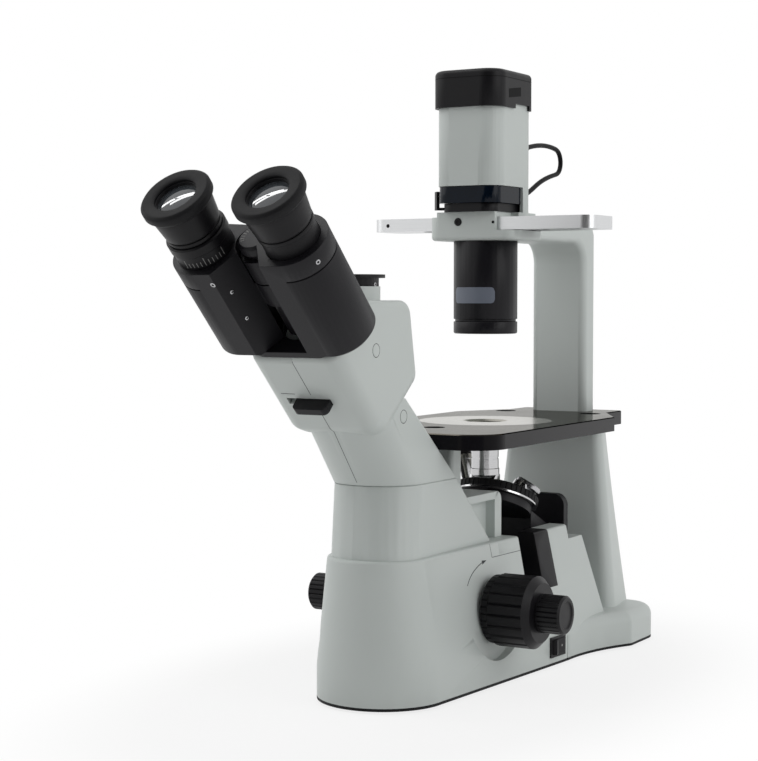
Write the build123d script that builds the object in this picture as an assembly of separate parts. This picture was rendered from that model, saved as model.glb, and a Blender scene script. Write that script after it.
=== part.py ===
from build123d import *
import os
from math import cos, radians, sin, tan

# Inverted microscope. X to the user's right, Y to the back, Z up, millimetres.
# It is drawn about the optical axis of objective and condenser, at bench level, and is moved along Y
# at the end, so that the origin lies in the middle of its footprint.

# Clearances
SEAT_GAP = 0.1
RUN_GAP = 0.3
SHAFT_GAP = 0.05
FLUSH_GAP = 0.2

# Base casting
FOOT_PAD_H = 4.0
NOSE_R = 50.0
NOSE_Y = -166.4
WAIST_HALF = 64.0
WAIST_Y = 20.0
TOP_NOSE_R = 39.0
TOP_NOSE_Y = -172.0
TOP_WAIST_HALF = 46.0
BODY_REAR_Y = 102.0
WALL_BREAK_Z = 27.0
BODY_TOP_Z = 110.0
SHOULDER_R = 2.5
CAST_WALL = 6.0
CAVITY_TOP_Z = 54.0
STEP_Y = 60.0
STEP_Z = 98.0
SLOPE_TOP_Y = 87.0
FOOT_HALF = 85.5
FOOT_FRONT_Y = 110.0
FOOT_REAR_Y = 176.0
FOOT_TOP_Z = 31.0
FOOT_EDGE_R = 9.0
FOOT_CORNER_R = 26.0
FLARE_Y = 25.0
FLARE_MID_HALF = 69.0
FLARE_MID_Y = 68.0
BOTTOM_PLATE_T = 2.5
PAD_R = 11.0
PAD_FRONT = (33.0, -160.0)
PAD_REAR = (69.0, 146.0)

# Rear column below the stage: height, half width in front and behind, front, back, corner radius
COLUMN_SECTIONS = (
    (20.0, 66.0, 58.0, 116.0, 174.0, 10.0),
    (120.0, 54.0, 43.0, 127.0, 171.0, 9.0),
    (188.0, 47.0, 35.0, 130.0, 168.0, 8.0),
)

# Tower stump and head
TOWER_ROOT_Z = 100.0
TOWER_ROOT_HALF = 36.0
TOWER_ROOT_FRONT_Y = -206.0
TOWER_ROOT_REAR_Y = -47.0
SEAM_Z = 164.0
SEAM_HALF = 35.0
SEAM_FRONT_Y = -202.0
SEAM_REAR_Y = -111.0
TOWER_NOSE_R = 32.0
TOWER_REAR_R = 6.0
NECK_TOP_Z = 229.0
NECK_TOP_FRONT_Y = -254.0
NECK_TOP_REAR_Y = -190.0
HEAD_HALF = 37.5
HEAD_TOP_Z = 300.0
HEAD_EDGE_R = 5.0
HEAD_FRONT_R = 12.0
HEAD_CHIN_R = 14.0
SEAM_GROOVE = 0.9
HEAD_TOP_R = 12.0
HEAD_CHIN = (-222.0, 203.0)
HEAD_BACK = (-180.0, 245.5)
HEAD_BACK_TOP_Y = -190.0

# Eyepiece unit, measured along the sloping axis from the eyecup faces
INCLINE = 45.0
HINGE_Y = -368.05
HINGE_Z = 376.15
TUBE_X = 36.2
TUBE_DROP = 8.7
HEAD_FACE_S = 135.7
HEAD_FRONT_DROP = 28.5
HEAD_FRONT_END_S = 210.0
FLANGE_S = 130.5
FLANGE_W = 70.0
FLANGE_H = 55.0
FLANGE_R = 14.0
FLANGE_BORE_R = 15.0
HOUSING_TOP_S = {1: 43.0, -1: 50.0}
HOUSING_R = 25.0
HOUSING_LOW_X = 21.5
HOUSING_INNER_X = 5.0
HOUSING_UPPER = 14.0
HOUSING_LAND_S = 14.0
HOUSING_GROOVE = 1.0
HOUSING_BEVEL = 3.0
POST_R = 11.0
POST_BORE_R = 8.0
POST_TOP_S = 54.0
POST_CAP_R = 13.0
POST_CAP_T = 7.0
KNUCKLE_R = 15.0
KNUCKLE_S = {1: (58.0, 78.0), -1: (79.0, 99.0)}
KNUCKLE_WEB = 10.0
PRISM_S = 102.0
PRISM_SIDE = 14.0
TUBE_R = 19.3
TUBE_BORE_R = 15.1
TUBE_TOP_S = 31.5
TUBE_SEAT_S = 71.5
ARM_LIGHT_R = 11.0
EYEPIECE_SLEEVE_R = 15.0
EYEPIECE_SLEEVE_END_S = 60.0
EYEPIECE_TOP_S = 3.0
EYEPIECE_TOP_R = 22.0
EYEPIECE_END_R = 20.0
EYEPIECE_BORE_R = 12.0
EYELENS_R = 14.5
EYELENS_T = 4.0
EYECUP_R = 25.2
EYECUP_LIP_R = 15.0
EYECUP_LEN = 9.0
EYECUP_EDGE_S = 1.8
DIOPTER_R = 21.6
DIOPTER_GRIP_L = 8.0

# Beam selector on the head
SELECTOR_S = 179.5
SELECTOR_HALF = 14.0
SELECTOR_T = 5.5
SELECTOR_OUT = 10.0
SELECTOR_TRAVEL = 8.0
HEAD_CAVITY_HALF = 31.0
HEAD_CAVITY_S = (150.0, 200.0)
HEAD_CAVITY_UP = 20.0
HEAD_CAVITY_DOWN = 22.0
SPLITTER_SIDE = 24.0

# Camera port
PORT_Y = -218.0
PORT_NECK_R = 24.0
PORT_NECK_H = 10.0
PORT_RING_R = 23.0
PORT_RING_H = 6.0
PORT_FLANGE_R = 27.5
PORT_FLANGE_H = 2.5
PORT_BORE_R = 19.0
PORT_RECESS = 3.0
PORT_LIGHT_R = 15.0

# Light path and mirrors
BEAM_Z = 90.0
BEAM_R = 10.0
TOWER_LIGHT_R = 12.0
HEAD_LIGHT_R = 14.0
MIRROR_R = 11.0
MIRROR_T = 3.0
MIRROR_WEDGE_HALF = 13.0
MIRROR_WEDGE_LAND = 4.0

# Pocket for the focusing carriage
POCKET_HALF = 31.0
POCKET_FRONT_Y = -72.0
POCKET_FLOOR_Z = 60.0
POCKET_OPEN_Y = -28.0
POCKET_REAR_Y = 112.0
RACK_WELL_Y = -58.0
RACK_WELL_Z = 30.0
DECK_FRONT_Y = -62.0
DECK_Z = 100.0
SIDE_SLOT_END_Y = 23.5
SIDE_SLOT_Z = 64.0
SIDE_COVER_Y = -1.0

# Upright housing behind the tower and the stage post on it
BEAM_HOUSING_HALF = 32.0
BEAM_HOUSING_REAR_Y = -33.0
BEAM_HOUSING_TOP_Z = 147.0
BEAM_HOUSING_R = 8.0
PANEL_RIM = 12.0
PANEL_TOP = 6.0
PANEL_DEPTH = 8.0
POST_HALF = 17.0
POST_Y = (-90.0, -72.0)

# Stage
STAGE_TOP_Z = 200.0
STAGE_T = 12.0
STAGE_HALF = 76.0
STAGE_FRONT_Y = -143.0
STAGE_FRONT_R = 28.0
STAGE_SIDE_END_Y = 92.6
TONGUE_HALF = 48.0
TONGUE_Y = 141.7
TONGUE_REAR_Y = 177.0
STAGE_CORNER_R = 4.0
STAGE_EDGE = 0.8
STAGE_ROOM = 0.6
INSERT_R = 55.0
INSERT_T = 4.0
INSERT_HOLE_R = 16.8
STAGE_HOLE_R = 49.0
ACCESSORY_HOLES = ((0.0, -88.0), (-41.0, 121.0), (41.0, 121.0))
ACCESSORY_SINK_R = 9.0
ACCESSORY_SINK_T = 3.0
ACCESSORY_R = 2.1

# Upper column, arm and condenser holder
COLUMN_HALF = 26.0
COLUMN_FRONT_Y = 141.5
COLUMN_REAR_Y = 165.5
COLUMN_EDGE_R = 6.0
ARM_TOP_Z = 367.0
ARM_BOTTOM_Z = 349.0
ARM_INNER_R = 18.0
ARM_OUTER_R = 12.0
HOLDER_HALF = 39.0
HOLDER_FRONT_Y = -29.0
HOLDER_REAR_Y = 32.0
HOLDER_BOTTOM_Z = 348.0
HOLDER_TOP_Z = 371.0
HOLDER_R = 11.0
HOLDER_EDGE_R = 3.0
HOLDER_TOP_HALF = 30.0
HOLDER_LIGHT_R = 17.0
HOLDER_WALL_END_X = 23.0

# Phase slider
SLIDER_T = 10.4
SLIDER_BOTTOM_Z = 356.3
SLIDER_HALF_W = 24.0
SLIDER_LEFT_X = -94.4
SLIDER_RIGHT_X = 105.6
SLIDER_PITCH = 44.0
SLIDER_APERTURE_R = 15.0
SLIDER_RING_T = 3.0
SLIDER_CORNER_R = 10.0

# Condenser
CONDENSER_R = 26.25
CONDENSER_BORE_R = 21.0
CONDENSER_BOTTOM_Z = 272.0
CONDENSER_RING_H = 10.0
CONDENSER_GROOVE_H = 2.0
CONDENSER_GROOVE = 1.2
CONDENSER_LENS_R = 19.0
CONDENSER_LENS_T = 6.0

# Lamp
SEAT_HALF = 24.0
SEAT_FRONT_Y = -35.5
SEAT_REAR_Y = 19.0
SEAT_TOP_Z = 377.7
SEAT_R = 11.0
LAMP_LIGHT_R = 17.0
IRIS_Z = 373.0
IRIS_T = 2.0
IRIS_OUT_R = 18.8
IRIS_LEVER_R = 42.0
IRIS_LEVER_ANGLE = 220.0
IRIS_LEVER_HALF = 4.0
IRIS_LEVER_T = 2.5
IRIS_LEVER_TOP_Z = 388.0
IRIS_SWING = 35.0
DRAWER_HALF = 27.3
DRAWER_FRONT_Y = -38.0
DRAWER_REAR_Y = 18.0
DRAWER_SHOULDER_Y = 9.5
DRAWER_TONGUE_HALF = 23.5
DRAWER_R = 12.0
FILTER_R = 16.0
FILTER_T = 4.0
HOUSE_HALF = 29.0
HOUSE_FRONT_Y = -39.5
HOUSE_REAR_Y = 23.4
HOUSE_R = 16.0
HOUSE_WALL = 2.8
HOUSE_BOTTOM_Z = 391.6
HOUSE_FLOOR_T = 3.0
HOUSE_LEG_Y = 10.0
HOUSE_LEG_Z = 371.0
HOUSE_H = 66.9
LAMP_CAP_OVER = 2.2
LAMP_CAP_LAP = 4.0
LAMP_CAP_H = 30.0
LAMP_CAP_EDGE_R = 4.0
LAMP_CAP_NOTCH = (-8.0, 17.0)
LAMP_CAP_NOTCH_H = 3.8
SOCKET_R = 13.0
SOCKET_T = 12.0
BULB_R = 6.0
BULB_H = 24.0

# Lamp lead: points chosen by hand along its route, behind and above the lamp house's rear bottom edge
LEAD_R = 2.0
LEAD_X = 20.0
LEAD_ROUTE = (
    (10.6, 34.4), (22.6, 36.6), (35.1, 38.2), (46.1, 38.8), (56.1, 38.6), (65.1, 37.8), (72.2, 36.6),
    (77.2, 32.7), (79.3, 26.8), (77.9, 20.9), (73.6, 16.7), (67.2, 15.2), (58.1, 13.4), (46.6, 10.4),
    (35.1, 6.4), (24.6, 1.6), (15.6, -2.4), (8.6, -4.4), (3.1, -4.9),
)
GLAND_R = 3.4
GLAND_WALL_R = 2.6

# Nosepiece
NOSE_TILT = 25.0
NOSE_CENTRE_Y = 23.0
NOSE_CENTRE_Z = 140.0
TURRET_R = 35.0
TURRET_T = 9.0
GRIP_RIBS = 48
GRIP_R = 35.5
GRIP_SEAT_R = 33.0
GRIP_BOTTOM = 1.6
GRIP_TOP = 1.2
TURRET_STATIONS = 4
SOCKET_BOSS_R = 12.5
SOCKET_LIGHT_R = 7.0
OBJECTIVE_SEAT_Z = 155.5
OBJECTIVE_TIP_Z = 193.5
OBJECTIVE_R = 11.3
OBJECTIVE_TIP_R = 5.0
PIVOT_R = 6.0
PIVOT_HEAD_R = 9.0
PIVOT_HEAD_T = 4.0

# Focusing carriage
CARRIAGE_PLATE_R = 31.0
CARRIAGE_PLATE_T = 7.0
CARRIAGE_HALF = 24.0
CARRIAGE_FRONT_Y = 38.0
CARRIAGE_REAR_Y = 70.0
CARRIAGE_BOTTOM_Z = 70.0
CHEEK_T = 6.0
CHEEK_TOP_Z = 80.0
RACK_BLOCK_Y = -60.0
RACK_BLOCK_FRONT_Y = -71.0
RACK_BLOCK_Z = (50.0, 80.0)
RACK_HALF = 5.0
GUIDE_R = 7.0
GUIDE_Y = 54.0
GUIDE_TOP_Z = 100.0
GUARD_HALF = 35.5
GUARD_Y = (79.0, 87.0)
GUARD_TOP_Z = 133.0
GUARD_R = 10.0
FOCUS_DOWN = 8.0
FOCUS_UP = 3.0

# Focus drive
KNOB_Y = -82.8
KNOB_Z = 60.5
MODULE = 0.8
PINION_TEETH = 15
PINION_HALF = 4.5
BACKLASH = 0.24
MESH_GAP = 0.1
COARSE_SHAFT_R = 4.0
FINE_SHAFT_R = 2.4
BUSHING_R = 9.0
BUSHING_INNER_X = 34.0
SPOT_R = 40.0
SPOT_DEPTH = 5.3
COLLAR_R = 26.6
COLLAR_L = 7.5
COLLAR_RIBS = 30
COARSE_R = 28.0
COARSE_L = 33.5
COARSE_BEVEL = 5.0
COARSE_FLUTES = 20
FINE_R = 15.0
FINE_L = 20.5
FINE_FLUTES = 24

# Switch, dial and inlet
SWITCH_Y = 7.0
SWITCH_Z = 17.0
SWITCH_L = 24.0
SWITCH_H = 16.5
SWITCH_RIM = 1.4
SWITCH_DEPTH = 12.0
ROCKER_R = 9.0
ROCKER_H = 12.0
ROCKER_TILT = 8.0
DIAL_R = 11.0
DIAL_T = 8.0
DIAL_STEM_R = 3.0
DIAL_STEM_L = 9.0
INLET_W = 30.0
INLET_H = 21.0
INLET_FLANGE = 2.0
INLET_DEPTH = 16.0
INLET_Z = 17.5

# The sloping frame of the eyepiece unit: z runs from the eye into the head, y runs down its front
HEAD_FRAME = Plane(
    origin=(0, HINGE_Y, HINGE_Z),
    x_dir=(1, 0, 0),
    z_dir=(0, cos(radians(INCLINE)), -sin(radians(INCLINE))),
)
ARM_DROP = Vector(TUBE_X, TUBE_DROP).get_angle(Vector(1, 0))
ARM_R = Vector(TUBE_X, TUBE_DROP).length
# The tilted frame of the turret: z runs up its axis, the origin is the centre of its top
TURRET_FRAME = Plane(
    origin=(0, NOSE_CENTRE_Y, NOSE_CENTRE_Z),
    x_dir=(1, 0, 0),
    z_dir=(0, sin(radians(NOSE_TILT)), cos(radians(NOSE_TILT))),
)
STAGE_BOTTOM_Z = STAGE_TOP_Z - STAGE_T
PINION_R = MODULE * PINION_TEETH / 2
FRONT_Y = HINGE_Y + (EYECUP_EDGE_S - TUBE_DROP - EYECUP_R) * cos(radians(INCLINE))
REAR_Y = FOOT_REAR_Y + INLET_FLANGE
HEAD_HEEL = (NECK_TOP_REAR_Y, NECK_TOP_Z)
SLIDER_TOP_Z = SLIDER_BOTTOM_Z + SLIDER_T
HOUSE_TOP_Z = HOUSE_BOTTOM_Z + HOUSE_H
LAMP_CAP_BOTTOM_Z = HOUSE_TOP_Z - LAMP_CAP_LAP
LAMP_CAP_TOP_Z = LAMP_CAP_BOTTOM_Z + LAMP_CAP_H
WALL_SLOPE = (WAIST_HALF - NOSE_R) / (WAIST_Y - NOSE_Y)
KNOB_SEAT_X = NOSE_R + (KNOB_Y - NOSE_Y) * WALL_SLOPE - SPOT_DEPTH
COLLAR_END_X = KNOB_SEAT_X + COLLAR_L
COARSE_END_X = COLLAR_END_X + COARSE_L
FINE_END_X = COARSE_END_X + FINE_L


def box(x0, x1, y0, y1, z0, z1):
    """A block between two corners."""
    centre = ((x0 + x1) / 2, (y0 + y1) / 2, (z0 + z1) / 2)
    return Pos(*centre) * Box(x1 - x0, y1 - y0, z1 - z0)


def rod(radius, z0, z1, x=0.0, y=0.0):
    """A round bar along Z."""
    return Pos(x, y, (z0 + z1) / 2) * Cylinder(radius, z1 - z0)


def rod_x(radius, x0, x1, y=KNOB_Y, z=KNOB_Z):
    """A round bar along X, on the knob axis unless it is placed elsewhere."""
    return Pos((x0 + x1) / 2, y, z) * Rot(0, 90, 0) * Cylinder(radius, x1 - x0)


def turned(*outline):
    """A solid of revolution about Z from points of radius and height."""
    return revolve(Plane.XZ * make_face(Polyline(*outline, close=True)), Axis.Z)


def side_profile(points, half):
    """A prism of a Y-Z outline, as wide to the left as to the right."""
    return extrude(Plane.YZ * make_face(Polyline(*points, close=True)), amount=half, both=True)


def rounded_block(half, y0, y1, z0, z1, front_r, rear_r):
    """An upright block with one radius on the front corners and one on the rear corners."""
    plan = Pos(0, (y0 + y1) / 2) * Rectangle(2 * half, y1 - y0)
    plan = fillet(plan.vertices().group_by(Axis.Y)[0], front_r)
    plan = fillet(plan.vertices().group_by(Axis.Y)[-1], rear_r)
    return extrude(Pos(0, 0, z0) * plan, amount=z1 - z0)


def fluted(solid, radius, flute_r, count, x0, x1):
    """Flutes cut along X into the rim of a knob on the knob axis."""
    flutes = [
        Pos((x0 + x1) / 2, KNOB_Y, KNOB_Z) * Rot(360 * i / count, 0, 0) * Pos(0, radius, 0) * Rot(45, 0, 0)
        * Box(x1 - x0, flute_r, flute_r)
        for i in range(count)
    ]
    return solid - flutes


def mirrored(solid, side):
    """The solid itself for the right side, or its mirror image for the left side."""
    return solid if side > 0 else mirror(solid, about=Plane.YZ)


def slope_point(s, drop):
    """Y and Z of a point of the sloping frame in the middle plane."""
    lean = radians(INCLINE)
    return (HINGE_Y + s * cos(lean) - drop * sin(lean), HINGE_Z - s * sin(lean) - drop * cos(lean))


def body_plan(nose_r, nose_y, waist_half):
    """Plan of the base: round nose, sides that widen to the waist, straight back."""
    nose = ThreePointArc((-nose_r, nose_y), (0, nose_y - nose_r), (nose_r, nose_y))
    sides = Polyline(
        (nose_r, nose_y), (waist_half, WAIST_Y), (waist_half, BODY_REAR_Y),
        (-waist_half, BODY_REAR_Y), (-waist_half, WAIST_Y), (-nose_r, nose_y),
    )
    return make_face(nose.edges() + sides.edges())


def wall_half(y):
    """Half width of the upright lower wall at a place along Y."""
    return NOSE_R + (y - NOSE_Y) * WALL_SLOPE


def base_body():
    """Outer form of the base between feet and tower: upright below, leaning in above."""
    wide = body_plan(NOSE_R, NOSE_Y, WAIST_HALF)
    narrow = body_plan(TOP_NOSE_R, TOP_NOSE_Y, TOP_WAIST_HALF)
    lower = extrude(Pos(0, 0, FOOT_PAD_H) * wide, amount=WALL_BREAK_Z - FOOT_PAD_H)
    upper = loft([Pos(0, 0, WALL_BREAK_Z) * wide, Pos(0, 0, BODY_TOP_Z) * narrow], ruled=True)
    upper = fillet(upper.faces().sort_by(Axis.Z)[-1].edges(), SHOULDER_R)
    far = FOOT_REAR_Y + FOOT_HALF
    behind = side_profile(
        [(STEP_Y, STEP_Z), (SLOPE_TOP_Y, STEP_Z), (BODY_REAR_Y, FOOT_TOP_Z), (far, FOOT_TOP_Z),
         (far, STAGE_TOP_Z), (STEP_Y, STAGE_TOP_Z)],
        FOOT_HALF,
    )
    return lower + upper - behind


def rear_feet():
    """The two feet that spread to the sides behind the waist."""
    right = ThreePointArc(
        (wall_half(FLARE_Y), FLARE_Y), (FLARE_MID_HALF, FLARE_MID_Y), (FOOT_HALF, FOOT_FRONT_Y)
    )
    left = mirror(right, about=Plane.YZ)
    rest = Polyline(
        (FOOT_HALF, FOOT_FRONT_Y), (FOOT_HALF, FOOT_REAR_Y), (-FOOT_HALF, FOOT_REAR_Y),
        (-FOOT_HALF, FOOT_FRONT_Y),
    )
    front = Line((-wall_half(FLARE_Y), FLARE_Y), (wall_half(FLARE_Y), FLARE_Y))
    plan = make_face(right.edges() + rest.edges() + left.edges() + front.edges())
    plan = fillet(plan.vertices().group_by(Axis.Y)[-1], FOOT_CORNER_R)
    toes = [v for v in plan.vertices() if abs(v.Y - FOOT_FRONT_Y) < SEAT_GAP]
    plan = fillet(toes, FOOT_EDGE_R)
    feet = extrude(Pos(0, 0, FOOT_PAD_H) * plan, amount=FOOT_TOP_Z - FOOT_PAD_H)
    return fillet(feet.faces().sort_by(Axis.Z)[-1].edges(), FOOT_EDGE_R)


def lower_column():
    """The flared rear column that carries the stage."""
    sections = []
    for z, front_half, back_half, front, back, corner in COLUMN_SECTIONS:
        plan = make_face(Polyline(
            (-front_half, front), (front_half, front), (back_half, back), (-back_half, back), close=True))
        sections.append(Pos(0, 0, z) * fillet(plan.vertices(), corner))
    return loft(sections)


def tower_section(z, half, front_y, rear_y):
    """Plan of the tower: round in front, small corners behind."""
    plan = Pos(0, (front_y + rear_y) / 2) * Rectangle(2 * half, rear_y - front_y)
    plan = fillet(plan.vertices().group_by(Axis.Y)[0], TOWER_NOSE_R)
    plan = fillet(plan.vertices().group_by(Axis.Y)[-1], TOWER_REAR_R)
    return Pos(0, 0, z) * plan


def tower():
    """The stump that rises from the base to the seam under the head."""
    root = tower_section(TOWER_ROOT_Z, TOWER_ROOT_HALF, TOWER_ROOT_FRONT_Y, TOWER_ROOT_REAR_Y)
    seam = tower_section(SEAM_Z, SEAM_HALF, SEAM_FRONT_Y, SEAM_REAR_Y)
    return loft([root, seam], ruled=True)


def slope_rod(radius, s0, s1):
    """A round bar along the sloping axis."""
    return HEAD_FRAME.location * rod(radius, s0, s1)


def slope_of_z(z):
    """Distance along the sloping axis at which it reaches a height."""
    return (HINGE_Z - z) / sin(radians(INCLINE))


def tower_mirror_frame():
    """Plane of the tower mirror: it turns the level beam up the sloping axis."""
    lean = radians(INCLINE) / 2
    y = HINGE_Y + (HINGE_Z - BEAM_Z) / tan(radians(INCLINE))
    return Plane(origin=(0, y, BEAM_Z), x_dir=(1, 0, 0), z_dir=(0, sin(lean), cos(lean)))


def light_path():
    """The level and sloping passages for the light inside base and head."""
    corner = slope_of_z(BEAM_Z)
    mirror_y = tower_mirror_frame().origin.Y
    level = Pos(0, (mirror_y + WAIST_Y) / 2, BEAM_Z) * Rot(90, 0, 0) * Cylinder(BEAM_R, WAIST_Y - mirror_y)
    wide = slope_rod(HEAD_LIGHT_R, FLANGE_S, slope_of_z(SEAM_Z))
    narrow = slope_rod(TOWER_LIGHT_R, slope_of_z(SEAM_Z), corner)
    seat = tower_mirror_frame().location * rod(MIRROR_R + SEAT_GAP, -MIRROR_T, 2 * MIRROR_R)
    return level + wide + narrow + seat


def carriage_pocket():
    """Room in the base for the carriage, its rack and the pinion."""
    under = box(-POCKET_HALF, POCKET_HALF, POCKET_FRONT_Y, POCKET_REAR_Y, POCKET_FLOOR_Z, DECK_Z)
    above = box(-POCKET_HALF, POCKET_HALF, POCKET_OPEN_Y, POCKET_REAR_Y, POCKET_FLOOR_Z, STAGE_TOP_Z)
    well = box(-POCKET_HALF, POCKET_HALF, POCKET_FRONT_Y, RACK_WELL_Y, RACK_WELL_Z, DECK_Z)
    slot_half = RACK_HALF + 1
    pinion_room = rod_x(PINION_R + 2 * MODULE, -slot_half, slot_half)
    rack_room = box(-slot_half, slot_half, KNOB_Y, POCKET_FRONT_Y, RACK_WELL_Z, DECK_Z)
    return under + above + well + pinion_room + rack_room


def side_slots():
    """Cut-outs in both side walls for the black covers."""
    slot = box(0, WAIST_HALF, POCKET_OPEN_Y, SIDE_SLOT_END_Y, SIDE_SLOT_Z, STAGE_TOP_Z)
    return slot + mirrored(slot, -1)


def knob_spot(side):
    """Round spot face for a focus knob, which runs out where the wall leans away from it."""
    return mirrored(rod_x(SPOT_R, KNOB_SEAT_X, WAIST_HALF), side)


def switch_frame():
    """Plane on the right wall for the switch, facing out."""
    return Plane(
        origin=(wall_half(SWITCH_Y), SWITCH_Y, SWITCH_Z), x_dir=(WALL_SLOPE, 1, 0), z_dir=(1, -WALL_SLOPE, 0)
    )


def dial_frame():
    """Plane on the left wall for the brightness dial, facing out."""
    return Plane(
        origin=(-wall_half(SWITCH_Y), SWITCH_Y, SWITCH_Z), x_dir=(WALL_SLOPE, -1, 0), z_dir=(-1, -WALL_SLOPE, 0)
    )


def deck_room():
    """The part of the body that the deck cover replaces."""
    return box(-WAIST_HALF, WAIST_HALF, DECK_FRONT_Y, POCKET_OPEN_Y, DECK_Z, STAGE_TOP_Z)


def make_base_casting():
    """Base, feet, lower column and tower in one casting, hollow where things go in."""
    body = base_body() + rear_feet() + lower_column() - deck_room() - knob_spot(1) - knob_spot(-1) + tower()
    lean = (WAIST_HALF - TOP_WAIST_HALF) * (CAVITY_TOP_Z - WALL_BREAK_Z) / (BODY_TOP_Z - WALL_BREAK_Z)
    outside = body_plan(NOSE_R, NOSE_Y, WAIST_HALF)
    cavity = extrude(offset(outside, -CAST_WALL - lean), amount=CAVITY_TOP_Z)
    cavity += extrude(offset(outside, -CAST_WALL), amount=FOOT_PAD_H + BOTTOM_PLATE_T)
    bores = rod_x(BUSHING_R + SEAT_GAP, -KNOB_SEAT_X, KNOB_SEAT_X)
    switch_hole = switch_frame().location * box(
        -SWITCH_L / 2 + SWITCH_RIM, SWITCH_L / 2 - SWITCH_RIM, -SWITCH_H / 2 + SWITCH_RIM,
        SWITCH_H / 2 - SWITCH_RIM, -SWITCH_DEPTH - 1, SWITCH_RIM,
    )
    dial_hole = dial_frame().location * rod(DIAL_STEM_R + SHAFT_GAP, -CAST_WALL * 2, 1)
    inlet_hole = box(
        -INLET_W / 2 + INLET_FLANGE, INLET_W / 2 - INLET_FLANGE, FOOT_REAR_Y - INLET_DEPTH, FOOT_REAR_Y,
        INLET_Z - INLET_H / 2 + INLET_FLANGE, INLET_Z + INLET_H / 2 - INLET_FLANGE,
    )
    guide_hole = rod(GUIDE_R + SEAT_GAP, CAVITY_TOP_Z, POCKET_FLOOR_Z, 0, GUIDE_Y)
    cuts = [cavity, light_path(), carriage_pocket(), side_slots(), bores, switch_hole, dial_hole]
    return body - cuts + mirror_wedge() - [inlet_hole, guide_hole]


def make_bottom_plate():
    """Sheet that closes the hollow base from below."""
    outline = offset(body_plan(NOSE_R, NOSE_Y, WAIST_HALF), -CAST_WALL - FLUSH_GAP)
    return extrude(Pos(0, 0, FOOT_PAD_H) * outline, amount=BOTTOM_PLATE_T)


def make_rubber_feet():
    """Four round rubber feet, two under the plate and two under the rear feet."""
    pad = turned(
        (0, 0), (PAD_R - 1, 0), (PAD_R, 1), (PAD_R, FOOT_PAD_H), (0, FOOT_PAD_H),
    )
    places = [(s * x, y) for x, y in (PAD_FRONT, PAD_REAR) for s in (-1, 1)]
    return Compound([Pos(x, y, 0) * pad for x, y in places])


def make_deck_cover():
    """Saddle on the body between tower and nosepiece."""
    return (base_body() & deck_room()) - tower()


def make_side_cover(side):
    """Black cover that fills the rear part of a side cut-out, flush with the leaning wall."""
    room = box(
        POCKET_HALF + FLUSH_GAP, WAIST_HALF, SIDE_COVER_Y, SIDE_SLOT_END_Y - FLUSH_GAP, SIDE_SLOT_Z, BODY_TOP_Z
    )
    return mirrored(base_body() & room, side)


def make_beam_housing():
    """Upright housing behind the tower, with a sunk panel on each side."""
    rise = BEAM_HOUSING_TOP_Z - BODY_TOP_Z
    slope = (TOWER_ROOT_REAR_Y - SEAM_REAR_Y) / (SEAM_Z - TOWER_ROOT_Z)
    foot_y = TOWER_ROOT_REAR_Y - (BODY_TOP_Z - TOWER_ROOT_Z) * slope
    outline = make_face(Polyline(
        (foot_y, BODY_TOP_Z), (BEAM_HOUSING_REAR_Y, BODY_TOP_Z), (BEAM_HOUSING_REAR_Y, BEAM_HOUSING_TOP_Z),
        (foot_y - rise * slope, BEAM_HOUSING_TOP_Z), close=True,
    ))
    corners = [v for v in outline.vertices() if v.X > foot_y + 1 and v.Y > BODY_TOP_Z + 1]
    solid = extrude(Plane.YZ * fillet(corners, BEAM_HOUSING_R), amount=BEAM_HOUSING_HALF, both=True)
    panel = box(
        BEAM_HOUSING_HALF - PANEL_DEPTH, BEAM_HOUSING_HALF, foot_y - rise * slope,
        BEAM_HOUSING_REAR_Y - PANEL_RIM, BODY_TOP_Z, BEAM_HOUSING_TOP_Z - PANEL_TOP,
    )
    return solid - panel - mirrored(panel, -1)


def make_stage_post():
    """Short post between the upright housing and the front of the stage."""
    y0, y1 = POST_Y
    return rounded_block(POST_HALF, y0, y1, BEAM_HOUSING_TOP_Z, STAGE_BOTTOM_Z, 4, 4)


def head_rims(block, front):
    """Long edges of the head's two sides, either the front ones or the others."""
    face_y = slope_point(HEAD_FACE_S, HEAD_FRONT_DROP)[0]
    rims = []
    for e in block.edges():
        c = e.center()
        on_side = abs(abs(c.X) - HEAD_HALF) < SEAT_GAP
        below = c.Z < HEAD_TOP_Z - HEAD_TOP_R and c.Y > face_y and c.Y < HEAD_HEEL[0] - HEAD_EDGE_R
        ahead = (c.Y - HINGE_Y) - (HINGE_Z - c.Z) < 2 * tan(radians(INCLINE)) - HEAD_FRONT_DROP
        if on_side and e.length > HEAD_EDGE_R and (below and ahead) == front:
            rims.append(e)
    return rims


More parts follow.
